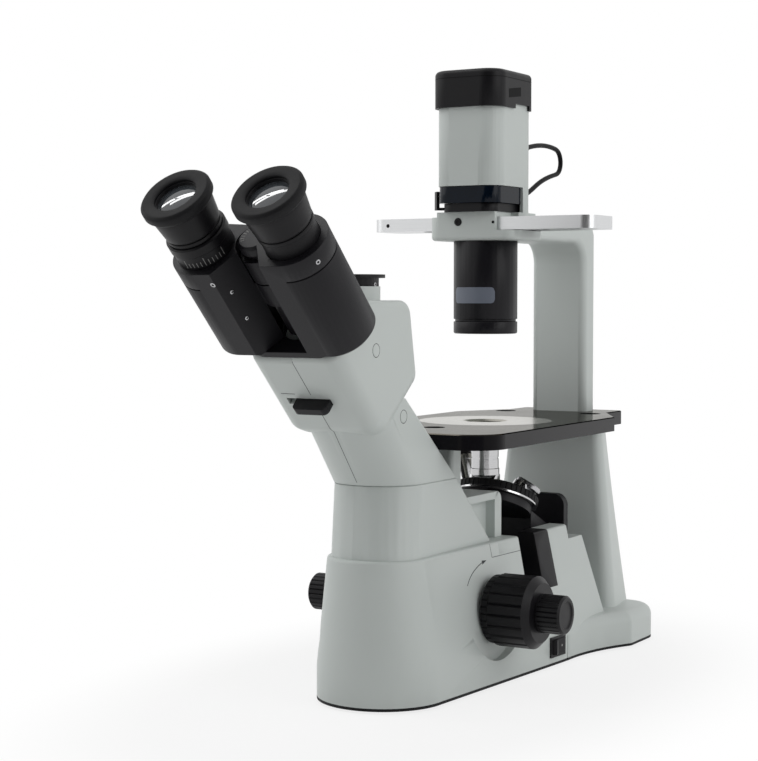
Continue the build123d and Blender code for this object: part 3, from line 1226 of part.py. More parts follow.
def make_rack():
    """Rack on the front of the carriage, in mesh with the pinion."""
    pitch = MODULE * 3.14159265
    pitch_y = KNOB_Y + PINION_R + MESH_GAP
    root_y = pitch_y + 1.25 * MODULE
    tip_y = pitch_y - MODULE
    lean = tan(radians(20))
    half = (pitch / 2 - BACKLASH) / 2
    bar = box(-RACK_HALF, RACK_HALF, root_y, RACK_BLOCK_FRONT_Y, *RACK_BLOCK_Z)
    z0, z1 = RACK_BLOCK_Z
    first = int((z0 - KNOB_Z) / pitch) + 1
    last = int((z1 - KNOB_Z) / pitch) - 1
    teeth = []
    for i in range(first, last + 1):
        z = KNOB_Z + i * pitch
        outline = rack_tooth_outline(z, root_y, tip_y, half + 1.25 * MODULE * lean, half - MODULE * lean)
        teeth.append(extrude(Plane.YZ * outline, amount=PINION_HALF - 0.5, both=True))
    return bar + teeth


def make_pinion_shaft():
    """Hollow coarse shaft with the pinion cut on it."""
    tip = PINION_R + MODULE
    root = PINION_R - 1.25 * MODULE
    pitch_half = 360 / PINION_TEETH / 4 - BACKLASH / PINION_R * 57.2958 / 2
    lean = 12.0
    tooth = []
    for r, half in ((root - 0.3, pitch_half + lean * 0.55), (PINION_R, pitch_half), (tip, pitch_half * 0.35)):
        tooth.append((r, half))
    points = [(r * cos(radians(h)), r * sin(radians(h))) for r, h in tooth]
    points += [(x, -y) for x, y in reversed(points)]
    outline = make_face(Polyline(*points, close=True))
    one = extrude(outline, amount=PINION_HALF, both=True)
    turn = 180 / PINION_TEETH
    gear = Cylinder(root, 2 * PINION_HALF) + [
        Rot(0, 0, turn + 360 * i / PINION_TEETH) * one for i in range(PINION_TEETH)
    ]
    gear = Pos(0, KNOB_Y, KNOB_Z) * Rot(0, 90, 0) * Rot(0, 0, 90) * gear
    shaft = rod_x(COARSE_SHAFT_R, -COARSE_END_X + COARSE_BEVEL, COARSE_END_X - COARSE_BEVEL)
    return gear + shaft - rod_x(FINE_SHAFT_R + SHAFT_GAP, -COARSE_END_X, COARSE_END_X)


def make_bushings():
    """Shaft bushings in both walls: the right one carries the collar, the left one has a plain rim."""
    spigot = COLLAR_END_X - RUN_GAP
    hole = rod_x(COARSE_SHAFT_R + SHAFT_GAP, 0, spigot)
    right = rod_x(BUSHING_R, BUSHING_INNER_X, spigot) - hole
    left = mirrored(rod_x(BUSHING_R, BUSHING_INNER_X, spigot) + rod_x(COLLAR_R, KNOB_SEAT_X, spigot) - hole, -1)
    return Compound([left, right])


def make_collar():
    """Tension collar between the right wall and the coarse knob."""
    x0 = KNOB_SEAT_X + RUN_GAP
    x1 = COLLAR_END_X - RUN_GAP
    collar = rod_x(COLLAR_R, x0, x1)
    collar = chamfer(collar.edges().filter_by(GeomType.CIRCLE), 1)
    collar = fluted(collar, COLLAR_R, 1.2, COLLAR_RIBS, x0 + 1, x1 - 1)
    return collar - rod_x(BUSHING_R + SHAFT_GAP, x0, x1)


def make_coarse_knob(side):
    """Coarse knob with flutes and a bevelled outer face."""
    outline = ((0, COLLAR_END_X), (COARSE_R, COLLAR_END_X), (COARSE_R, COARSE_END_X - COARSE_BEVEL),
               (COARSE_R - COARSE_BEVEL, COARSE_END_X), (0, COARSE_END_X))
    knob = Pos(0, KNOB_Y, KNOB_Z) * Rot(0, 90, 0) * turned(*outline)
    knob = fluted(knob, COARSE_R, 2.0, COARSE_FLUTES, COLLAR_END_X, COARSE_END_X - COARSE_BEVEL)
    knob = knob - rod_x(COARSE_SHAFT_R + SEAT_GAP, COLLAR_END_X, COARSE_END_X - COARSE_BEVEL)
    return mirrored(knob - rod_x(FINE_SHAFT_R + RUN_GAP, 0, COARSE_END_X), side)


def make_fine_focus():
    """Fine knobs, with small flutes and dished ends, on their common shaft."""
    x0 = COARSE_END_X + RUN_GAP
    outline = ((0, x0), (FINE_R, x0), (FINE_R, FINE_END_X - 1.5), (FINE_R - 1.5, FINE_END_X),
               (FINE_R - 4, FINE_END_X), (FINE_R - 5, FINE_END_X - 1), (0, FINE_END_X - 1))
    knob = Pos(0, KNOB_Y, KNOB_Z) * Rot(0, 90, 0) * turned(*outline)
    knob = fluted(knob, FINE_R, 1.1, FINE_FLUTES, x0 + 2, FINE_END_X - 1.5)
    return knob + mirrored(knob, -1) + rod_x(FINE_SHAFT_R, -x0, x0)


def make_guide_post():
    """Upright post that the carriage slides on."""
    return rod(GUIDE_R, CAVITY_TOP_Z, GUIDE_TOP_Z, 0, GUIDE_Y)


def make_rear_guard():
    """Black guard behind the nosepiece: a plate on the step, with a foot that closes the pocket."""
    y0, y1 = GUARD_Y
    plate = box(-GUARD_HALF, GUARD_HALF, y0, y1, STEP_Z, GUARD_TOP_Z)
    plate = fillet(plate.edges().filter_by(Axis.Y).group_by(Axis.Z)[-1], GUARD_R)
    half = POCKET_HALF - FLUSH_GAP
    return plate + box(-half, half, y0, y1, POCKET_FLOOR_Z, STEP_Z)


def mirror_wedge():
    """Wedge on the pocket floor behind the mirror under the objective."""
    half = MIRROR_WEDGE_HALF
    back = MIRROR_T / cos(radians(45))
    top = BEAM_Z + half - back
    return side_profile(
        [(-half, POCKET_FLOOR_Z), (half + MIRROR_WEDGE_LAND, POCKET_FLOOR_Z), (half + MIRROR_WEDGE_LAND, top),
         (half, top), (-half, top - 2 * half)],
        half,
    )


def make_relay_mirror():
    """Mirror that turns the light from the objective to the front."""
    frame = Plane(origin=(0, 0, BEAM_Z), x_dir=(1, 0, 0), z_dir=(0, -sin(radians(45)), cos(radians(45))))
    return frame.location * rod(MIRROR_R, -MIRROR_T, 0)


def make_tower_mirror():
    """Mirror in the tower, on its seat at the corner of the light path."""
    return tower_mirror_frame().location * rod(MIRROR_R, -MIRROR_T, 0)


def make_switch_frame():
    """Frame of the power switch, open for the rocker."""
    rim = box(-SWITCH_L / 2, SWITCH_L / 2, -SWITCH_H / 2, SWITCH_H / 2, 0, SWITCH_RIM)
    inside_l = SWITCH_L / 2 - SWITCH_RIM - SEAT_GAP
    inside_h = SWITCH_H / 2 - SWITCH_RIM - SEAT_GAP
    body = box(-inside_l, inside_l, -inside_h, inside_h, -SWITCH_DEPTH, 0)
    room_l = ROCKER_R + RUN_GAP
    room_h = ROCKER_H / 2 + RUN_GAP
    room = box(-room_l, room_l, -room_h, room_h, -SWITCH_DEPTH + 1.5, SWITCH_RIM)
    return switch_frame().location * (rim + body - room)


def make_rocker():
    """Rocker of the power switch, tilted to one side, on a round underside."""
    disc = Cylinder(ROCKER_R, ROCKER_H) & box(-ROCKER_R, ROCKER_R, -ROCKER_R, ROCKER_R, -ROCKER_H, ROCKER_H)
    keep = make_face(Polyline((-ROCKER_R, 4.5), (0, 2.6), (ROCKER_R, 4.5), (ROCKER_R, -ROCKER_R),
                              (-ROCKER_R, -ROCKER_R), close=True))
    rocker = disc & extrude(keep, amount=ROCKER_H, both=True)
    return switch_frame().location * Pos(0, 0, -1) * Rot(0, ROCKER_TILT, 0) * Rot(90, 0, 0) * rocker


def make_dial():
    """Brightness dial on the left wall, with its stem."""
    dial = rod(DIAL_R, RUN_GAP, DIAL_T)
    dial = chamfer(dial.faces().sort_by(Axis.Z)[-1].edges(), 1)
    rib = Pos(DIAL_R, 0, DIAL_T / 2) * Rot(0, 0, 45) * Box(1, 1, DIAL_T)
    dial = dial - [Rot(0, 0, 360 * i / FINE_FLUTES) * rib for i in range(FINE_FLUTES)]
    return dial_frame().location * (dial + rod(DIAL_STEM_R, -DIAL_STEM_L, RUN_GAP))


def make_inlet():
    """Mains inlet in the back of the base, with three flat pins."""
    y = FOOT_REAR_Y
    z = INLET_Z
    flange = box(-INLET_W / 2, INLET_W / 2, y, y + INLET_FLANGE, z - INLET_H / 2, z + INLET_H / 2)
    half_w = INLET_W / 2 - INLET_FLANGE - SEAT_GAP
    half_h = INLET_H / 2 - INLET_FLANGE - SEAT_GAP
    body = box(-half_w, half_w, y - INLET_DEPTH + SEAT_GAP, y, z - half_h, z + half_h)
    room = box(-half_w + 1.2, half_w - 1.2, y - INLET_DEPTH + 3, y + INLET_FLANGE, z - half_h + 1.2, z + half_h - 1.2)
    pins = [
        box(x - 1, x + 1, y - INLET_DEPTH + 2, y - 4, z + rise - 2, z + rise + 2)
        for x, rise in ((-7, -2), (0, 2), (7, -2))
    ]
    return flange + body - room + pins


def all_parts():
    """Every node of the microscope by name."""
    head_left, head_right = make_head_shells()
    parts = {
        "base_casting": make_base_casting(),
        "bottom_plate": make_bottom_plate(),
        "rubber_feet": make_rubber_feet(),
        "deck_cover": make_deck_cover(),
        "beam_housing": make_beam_housing(),
        "stage_post": make_stage_post(),
        "head_shell_left": head_left,
        "head_shell_right": head_right,
        "camera_port": make_port(),
        "eyepiece_flange": make_flange(),
        "hinge_post": make_hinge_post(),
        "diopter_ring": make_diopter_ring(),
        "beam_selector": make_selector(),
        "splitter_prism": make_splitter(),
        "stage_plate": make_stage(),
        "stage_insert": make_insert(),
        "arm_casting": make_arm_casting(),
        "phase_slider": make_slider(),
        "condenser_tube": make_condenser_tube(),
        "condenser_ring": make_condenser_ring(),
        "condenser_lens": make_condenser_lens(),
        "lamp_seat": make_lamp_seat(),
        "iris_lever": make_iris(),
        "filter_drawer": make_drawer(),
        "lamp_house": make_lamp_house(),
        "lamp_cap": make_lamp_cap(),
        "lamp_bulb": make_bulb(),
        "lead_glands": make_glands(),
        "lamp_lead": make_lead(),
        "turret": make_turret(),
        "turret_grip": make_turret_grip(),
        "objectives": make_objectives(),
        "socket_plug": Compound([make_socket_plug(1), make_socket_plug(2)]),
        "turret_pivot": make_pivot(),
        "carriage": make_carriage(),
        "rack": make_rack(),
        "pinion_shaft": make_pinion_shaft(),
        "shaft_bushings": make_bushings(),
        "tension_collar": make_collar(),
        "guide_post": make_guide_post(),
        "rear_guard": make_rear_guard(),
        "mirrors": Compound([make_relay_mirror(), make_tower_mirror()]),
        "side_covers": Compound([make_side_cover(-1), make_side_cover(1)]),
        "coarse_knobs": Compound([make_coarse_knob(-1), make_coarse_knob(1)]),
        "fine_focus": make_fine_focus(),
        "switch_frame": make_switch_frame(),
        "switch_rocker": make_rocker(),
        "brightness_dial": make_dial(),
        "mains_inlet": make_inlet(),
    }
    for name, side in (("left", -1), ("right", 1)):
        parts["prism_housing_" + name] = make_prism_housing(side)
        parts["eyepiece_tube_" + name] = make_eyepiece_tube(side)
        parts["eyepiece_" + name] = make_eyepiece(side)
        parts["eye_lens_" + name] = make_eyelens(side)
        parts["eyecup_" + name] = make_eyecup(side)
    return parts


os.makedirs("parts", exist_ok=True)
centred = Pos(0, -(FRONT_Y + REAR_Y) / 2, 0)
for node, shape in all_parts().items():
    export_step(centred * shape, "parts/" + node + ".step")
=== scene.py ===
import math

import bmesh
import bpy
from bpy.props import FloatProperty, FloatVectorProperty, IntProperty, PointerProperty
from mathutils import Matrix, Vector


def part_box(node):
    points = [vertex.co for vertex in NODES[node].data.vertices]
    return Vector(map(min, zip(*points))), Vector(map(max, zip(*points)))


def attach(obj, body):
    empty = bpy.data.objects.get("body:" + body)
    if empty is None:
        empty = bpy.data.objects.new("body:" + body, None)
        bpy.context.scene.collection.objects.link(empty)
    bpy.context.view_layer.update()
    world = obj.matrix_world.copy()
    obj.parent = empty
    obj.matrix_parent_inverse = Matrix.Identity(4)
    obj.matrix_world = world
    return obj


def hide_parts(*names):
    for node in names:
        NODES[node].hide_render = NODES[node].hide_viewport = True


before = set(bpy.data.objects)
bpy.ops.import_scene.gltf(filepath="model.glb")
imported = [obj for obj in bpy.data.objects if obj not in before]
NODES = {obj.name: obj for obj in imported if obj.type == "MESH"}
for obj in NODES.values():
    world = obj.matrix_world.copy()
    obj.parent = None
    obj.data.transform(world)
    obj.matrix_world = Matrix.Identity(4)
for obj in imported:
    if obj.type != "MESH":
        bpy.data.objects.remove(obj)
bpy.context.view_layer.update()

bl_info = {
    "name": "Inverted Microscope",
    "version": (1, 0, 0),
    "blender": (4, 5, 0),
    "location": "View3D > Sidebar > Microscope",
    "description": "Dresses the inverted microscope with finishes, fasteners, marks, lamp lead and studio",
    "category": "Object",
}

MM = 0.001
# Points closer than this are one point; a printed line stands this far out of its surface; both in metres
SAME_POINT = 0.000002
INK = 0.00006
# Widths of printed lines and of the arrow, in metres, and half the width of the arrow's tip
LINE_WIDTH = 0.5 * MM
ARROW_WIDTH = 0.7 * MM
ARROW_TIP = 1.6 * MM
# Edges flatter than these angles, in degrees, are not rounded and are shaded as smooth
BEVEL_ANGLE = 38
SMOOTH_ANGLE = 40
# The castings have a larger edge radius than the other pieces
CASTING_EDGE = 1.5
# The optical axis of objective and condenser: all places in millimetres are measured from it
AXIS_Y = (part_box("stage_insert")[0].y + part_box("stage_insert")[1].y) / 2


def extent(name):
    """The low and the high corner of a CAD node's box, in millimetres from the optical axis."""
    return [(corner - Vector((0, AXIS_Y, 0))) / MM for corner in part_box(name)]


# The sloping axis of the eyepiece unit, from the eyecup faces down into the head
SLOPE_START = (0.0, -368.05, 376.15)
DIAGONAL = math.sqrt(0.5)
# Eyepiece tube: out from the middle and down from that axis
TUBE = (36.2, 8.7)
# Marks on the diopter ring: from and to along its axis, angles in degrees, and how much a short one lacks
DIOPTER_MARKS = (41.6, 48.0)
DIOPTER_ZERO = 60
DIOPTER_STEP = 8
DIOPTER_SHORT = 2.5
# The rays to those marks start this far from the ring's axis, in metres
DIOPTER_RAY_START = 0.04
# Scale on the hinge cap: angles in degrees, radii between which its lines run, and a place over the cap
SCALE_ANGLES = (150, 165, 180, 195, 210)
SCALE_RADII = (7.4, 10.4)
OVER_HINGE = 20.0
# Joint of the head's halves: stretches of the slope above and below the selector, and its lower end
HEAD_JOINT = ((137.5, 172.5), (186.5, 330.0))
HEAD_JOINT_END_Z = extent("head_shell_right")[0].z + 3.0
HEAD_JOINT_STEP = 1.5
# The rays to that joint start in front of the head and run just inside its right half
HEAD_RAY = (0.25, 120.0)
# Plugs on the head's right side, which the left side repeats, and the width of the dark ring around each,
# painted shade of the gap around the plug
HEAD_PLUGS = ((37.5, -240.0, 265.0), (35.0, -197.0, 216.0))
PLUG_SHADE_RING = 0.45
# The ray to the dot on the switch starts here, right of the wall
SWITCH_DOT_RAY = (150.0, 12.0, 17.0)
# Screws of the bottom plate: places, where their rays start, and radius and height of a head
PLATE_SCREWS = ((-34, -150), (34, -150), (-34, 60), (34, 60))
UNDER_PLATE_Z = -50.0
PLATE_SCREW = (3.0, 0.9)
# The base's rim: its faces look down more than this and lie this close to its lowest point, in metres
LOOKS_DOWN = -0.9
RIM_DEPTH = 0.3 * MM
# Parting line of the lamp cap: height, steps, and how far from the cap's middle its rays start, in metres
CAP_LINE_Z = extent("lamp_cap")[1].z - 6.5
CAP_LINE_STEPS = 180
CAP_RAY_START = 0.2
# Blank label on the condenser: radius, bottom, top, corner, its film, and the angles where it starts and ends
CONDENSER_LOW, CONDENSER_HIGH = extent("condenser_tube")
LABEL = (CONDENSER_HIGH.x + 0.11, CONDENSER_LOW.z + 15.0, CONDENSER_LOW.z + 28.0, 3.4)
FILM = 0.1
LABEL_ANGLES = (-129.4, -46.0)
# Glass in the drawer and in the slider: radius, bottom, top, and the bevel of their edge
DRAWER_TOP = extent("filter_drawer")[1].z
SLIDER_TOP = extent("phase_slider")[1].z
FILTER_DISC = (15.6, DRAWER_TOP - 3.6, DRAWER_TOP - 0.6)
RING_DISC = (14.6, SLIDER_TOP - 2.5, SLIDER_TOP - 0.4)
GLASS_BEVEL = 0.4
# Each phase ring's place along the slider and inner radius, and the width of its clear ring
PHASE_RINGS = ((-44.0, 6.0), (44.0, 9.0))
RING_WIDTH = 1.8
# Lights: place in the frame in metres, width and height
KEY_LIGHT = ((1.9, -0.25, 0.95), 1.4, 1.4)
FILL_LIGHT = ((-1.7, -0.75, 1.0), 1.2, 1.2)
STRIP_LIGHTS = (((-0.55, -0.2, 1.53), 0.07, 0.8), ((-0.85, -0.2, 1.41), 0.07, 0.8))
LIGHT_TARGET = Vector((0, 0, 0.22))
# Dark card that the bright metal mirrors: place, where it faces, width, height and bend
CARD = (760, -1460, 620)
CARD_TARGET = (0, -90, 220)
CARD_SHAPE = (2.2, 1.5, 0.35)
# Floor: radius in metres, and the reach within which it shows a shadow, narrower across than along
FLOOR_RADIUS = 9.0
SHADOW_REACH = (0.25, 0.48)
SHADOW_SCALE = (1.8, 1, 1)
# Share of the floor's own glow close to the object; far from it the floor is all glow
NEAR_GLOW = 0.8
# The lamp lead lies in a plane right of the middle
LEAD_X = 20.0
# Route of the lamp lead, behind the rear wall of the lamp house and above the underside of its floor
HOUSE_EDGE = (23.4, 391.6)
LEAD_ROUTE = (
    (10.6, 34.4), (22.6, 36.6), (35.1, 38.2), (46.1, 38.8), (56.1, 38.6), (65.1, 37.8), (72.2, 36.6),
    (77.2, 32.7), (79.3, 26.8), (77.9, 20.9), (73.6, 16.7), (67.2, 15.2), (58.1, 13.4), (46.6, 10.4),
    (35.1, 6.4), (24.6, 1.6), (15.6, -2.4), (8.6, -4.4), (3.1, -4.9),
)
# The camera: its place from the optical axis, and where it looks
CAMERA = (670.84, -1308.2, 304.29)
LOOK = Vector((-0.50806, 0.85996, -0.04846)).normalized()
SENSOR = 36.0
IMAGE = (758, 761)
# Places of small pieces, as the pixels where the camera shows them
SCREW_PIXELS = {
    "housing_screw_right": (318, 262),
    "housing_screw_left_0": (213, 285),
    "housing_screw_left_1": (232, 292),
    "housing_screw_left_2": (247, 318),
    "port_screw": (375, 284.5),
    "holder_screw": (458, 222),
    "holder_screw_small": (493, 222),
    "slider_screw": (388, 226),
}
ARROW_PIXELS = ((467.5, 586.0), (470.5, 572.0), (482.0, 562.6), (486.5, 560.2))
DECK_LINE_PIXELS = ((489.5, 544.0), (492.0, 557.4), (520.0, 550.4))
SELECTOR_LINE_PIXELS = ((281.0, 393.4), (295.0, 394.1))
CAP_SLOT_PIXELS = ((509.0, 88.4), (521.0, 87.4), (521.0, 96.4), (509.0, 97.4))


def linear(red, green, blue):
    """A colour given in screen values from 0 to 255, as the linear values that Blender works in."""
    return tuple(
        (value / 255 / 12.92) if value <= 10 else ((value / 255 + 0.055) / 1.055) ** 2.4
        for value in (red, green, blue)
    )


# Settings


class MicroscopeColours(bpy.types.PropertyGroup):
    """Colours of the finishes."""

    grey: FloatVectorProperty(
        name="Grey paint", description="Paint of the castings", subtype="COLOR",
        default=linear(201, 207, 204))
    black: FloatVectorProperty(
        name="Black paint", description="Paint of the eyepiece unit and the condenser", subtype="COLOR",
        default=linear(21, 20, 24))
    plastic: FloatVectorProperty(
        name="Black plastic", description="Knobs, cap and covers", subtype="COLOR",
        default=linear(17, 16, 19))
    rubber: FloatVectorProperty(
        name="Rubber", description="Eyecups, grip ring and feet", subtype="COLOR",
        default=linear(18, 18, 20))
    stage: FloatVectorProperty(
        name="Stage", description="Anodised black of the stage plate", subtype="COLOR",
        default=linear(50, 48, 44))
    drawer: FloatVectorProperty(
        name="Filter drawer", description="Dark blue plastic of the filter drawer", subtype="COLOR",
        default=linear(8, 18, 30))
    label: FloatVectorProperty(
        name="Label", description="Blank label on the condenser", subtype="COLOR",
        default=linear(110, 116, 128))
    mark: FloatVectorProperty(
        name="Printed marks", description="Dark print on the grey paint", subtype="COLOR",
        default=linear(48, 50, 52))


class MicroscopeSizes(bpy.types.PropertyGroup):
    """Sizes of what is added to the castings."""

    edge: FloatProperty(
        name="Edge radius", description="Rounding of the machined and moulded edges", unit="LENGTH",
        default=0.0004)
    plug: FloatProperty(
        name="Plug radius", description="Radius of the plugs on the head's sides", unit="LENGTH",
        default=0.0046)
    lead: FloatProperty(
        name="Lead diameter", description="Thickness of the lamp lead", unit="LENGTH", default=0.004)
    lead_length: FloatProperty(
        name="Lead length", description="Length of the lamp lead", unit="LENGTH", default=0.1601)
    # The dark strip under the base is partly the black plate and feet, partly painted shade of the gap under
    # the base
    strip: FloatProperty(
        name="Bottom strip", description="Thickness of the dark strip under the base", unit="LENGTH",
        default=0.0022)
    ticks: IntProperty(
        name="Diopter marks", description="Marks on each side of the diopter ring's zero", default=5)


class MicroscopeStudio(bpy.types.PropertyGroup):
    """Light and camera."""

    ambient: FloatProperty(
        name="Surround", description="Strength of the light from all sides", default=0.62)
    key: FloatProperty(
        name="Key light", description="Power of the large light on the right, in watts", default=9.0)
    fill: FloatProperty(
        name="Fill light", description="Power of the light on the left, in watts", default=4.0)
    strips: FloatProperty(
        name="Strip lights", description="Power of each narrow light above, in watts", default=1.6)
    lens: FloatProperty(
        name="Lens", description="Focal length of the camera, in millimetres", default=84.05)


# Finishes


class Wire:
    """An output of a finish that can be used in sums; each sum adds its Math node."""

    def __init__(self, finish, socket):
        self.finish = finish
        self.socket = socket

    def other(self, name):
        """Another output of the same node."""
        return Wire(self.finish, self.socket.node.outputs[name])

    def sum(self, operation, left, right=0.0):
        """The outcome of a Math node."""
        return self.finish.node("ShaderNodeMath", {"operation": operation}, {0: left, 1: right})

    def __add__(self, value):
        return self.sum("ADD", self, value)

    def __radd__(self, value):
        return self.sum("ADD", value, self)

    def __sub__(self, value):
        return self.sum("SUBTRACT", self, value)

    def __rsub__(self, value):
        return self.sum("SUBTRACT", value, self)

    def __mul__(self, value):
        return self.sum("MULTIPLY", self, value)

    def __rmul__(self, value):
        return self.sum("MULTIPLY", value, self)

    def __truediv__(self, value):
        return self.sum("DIVIDE", self, value)

    def __rtruediv__(self, value):
        return self.sum("DIVIDE", value, self)

    def __pow__(self, value):
        return self.sum("POWER", self, value)

    def __gt__(self, value):
        return self.sum("GREATER_THAN", self, value)

    def __lt__(self, value):
        return self.sum("LESS_THAN", self, value)


class Finish:
    """A material, or the world, and the nodes that make it."""

    def __init__(self, name, kind="materials"):
        self.material = getattr(bpy.data, kind).new(name)
        self.material.use_nodes = True
        self.tree = self.material.node_tree
        self.tree.nodes.clear()

    def node(self, kind, settings=None, inputs=None, out=0):
        """Adds a node: its settings first, then the values or links of its sockets."""
        made = self.tree.nodes.new(kind)
        for key, value in (settings or {}).items():
            setattr(made, key, value)
        for key, value in (inputs or {}).items():
            if isinstance(value, Wire):
                self.tree.links.new(value.socket, made.inputs[key])
            else:
                made.inputs[key].default_value = value
        return Wire(self, made.outputs[out]) if len(made.outputs) else None

    def place(self):
        """The place on the object, in metres from its origin."""
        return self.node("ShaderNodeTexCoord", out="Object")

    def scaled(self, scale):
        """The place on the object, drawn together or out along its axes."""
        settings = {"vector_type": "POINT"}
        return self.node("ShaderNodeMapping", settings, {"Vector": self.place(), "Scale": scale})

    def noise(self, size, detail, stretch=None):
        """Cloudy noise with features of about that size in metres, drawn out along an axis if asked."""
        where = self.scaled(stretch) if stretch else self.place()
        return self.node("ShaderNodeTexNoise", None, {"Vector": where, "Scale": 1 / size, "Detail": detail})

    def between(self, factor, first, second):
        """A colour between two colours."""
        settings = {"data_type": "RGBA", "clamp_factor": True}
        return self.node("ShaderNodeMix", settings, {0: factor, 6: first, 7: second}, out=2)

    def bump(self, height, depth, strength):
        """A normal from a height that runs from 0 to 1."""
        return self.node("ShaderNodeBump", None, {"Height": height, "Distance": depth, "Strength": strength})

    def surface(self, **inputs):
        """The shader and the output; names of sockets have _ for a space."""
        named = {key.replace("_", " "): value for key, value in inputs.items()}
        shader = self.node("ShaderNodeBsdfPrincipled", None, named)
        self.node("ShaderNodeOutputMaterial", None, {"Surface": shader})
        return self.material

    def straight(self):
        """One where the camera, a mirror or glass looks at the surface, and zero for other light."""
        seen = self.node("ShaderNodeLightPath", out="Is Camera Ray")
        path = seen
        for name in ("Is Glossy Ray", "Is Transmission Ray"):
            seen = path.sum("MAXIMUM", seen, path.other(name))
        return seen


def shade(colour, share):
    """A colour, made lighter or darker, with its alpha."""
    return tuple(min(1.0, value * share) for value in colour) + (1.0,)


def paint(name, colour, roughness, peel, depth, mottle=0.025, specular=0.5, strength=0.4):
    """Sprayed paint: orange peel, slow mottling of its tone, gloss that wanders a little."""
    coat = Finish(name)
    grain = coat.noise(peel, 4.0)
    cloud = coat.noise(0.06, 2.0)
    return coat.surface(
        Base_Color=coat.between(cloud, shade(colour, 1 - mottle), shade(colour, 1 + mottle)),
        Roughness=roughness + 0.10 * (grain - 0.5) + 0.06 * (cloud - 0.5),
        Normal=coat.bump(grain, depth, strength),
        Specular_IOR_Level=specular,
    )


def moulded(name, colour, roughness, grain_size, depth, specular=0.2, speck=0.0):
    """Moulded plastic or rubber: fine spark grain, faint dust on it."""
    coat = Finish(name)
    inputs = {"Vector": coat.place(), "Scale": 1 / grain_size}
    grain = coat.node("ShaderNodeTexVoronoi", {"feature": "F1"}, inputs)
    dust = coat.noise(0.012, 5.0)
    return coat.surface(
        Base_Color=coat.between((dust - 0.45) * 2.0, shade(colour, 0.9), shade(colour, 1.15 + speck)),
        Roughness=roughness + 0.12 * (dust - 0.5),
        Normal=coat.bump(grain, depth, 0.35),
        Specular_IOR_Level=specular,
    )


def bare_metal(name, colour, roughness, stretch, groove=0.0006, depth=0.00002):
    """Machined metal with the fine lines of the tool."""
    coat = Finish(name)
    lines = coat.noise(groove, 3.0, stretch=stretch)
    cloud = coat.noise(0.03, 2.0)
    return coat.surface(
        Base_Color=coat.between(lines, shade(colour, 0.93), shade(colour, 1.04)),
        Metallic=1.0,
        Roughness=roughness + 0.10 * (lines - 0.5) + 0.05 * (cloud - 0.5),
        Normal=coat.bump(lines, depth, 0.3),
    )


def anodised(name, colour, black, edge):
    """Dark anodised metal with a mirroring top, matt edges and faint rubbing marks."""
    coat = Finish(name)
    normal = coat.node("ShaderNodeTexCoord", out="Normal")
    top = coat.node("ShaderNodeSeparateXYZ", None, {0: normal}, out="Z") > 0.7
    rub = coat.noise(0.004, 6.0)
    cloud = coat.noise(0.05, 2.0)
    edges = coat.between(cloud, shade(black, 0.88), shade(black, 1.12))
    mirror = coat.between(cloud, shade(colour, 0.88), shade(colour, 1.12))
    return coat.surface(
        Base_Color=coat.between(top, edges, mirror),
        Metallic=top,
        Specular_Tint=shade(edge, 1.0), Specular_IOR_Level=0.22,
        Roughness=0.15 + 0.06 * (rub - 0.5) + 0.05 * (cloud - 0.5),
        Normal=coat.bump(rub, 0.00002, 0.2),
    )


def clear_glass(name, tint, roughness=0.02):
    """Coated glass over a dark barrel."""
    coat = Finish(name)
    cloud = coat.noise(0.008, 2.0)
    return coat.surface(
        Base_Color=coat.between(cloud, shade(tint, 0.8), shade(tint, 1.3)),
        Roughness=roughness + 0.01 * cloud,
        Specular_IOR_Level=0.5, Coat_Weight=0.4, Coat_IOR=1.6, Coat_Roughness=0.02,
    )


FINISHES = {}


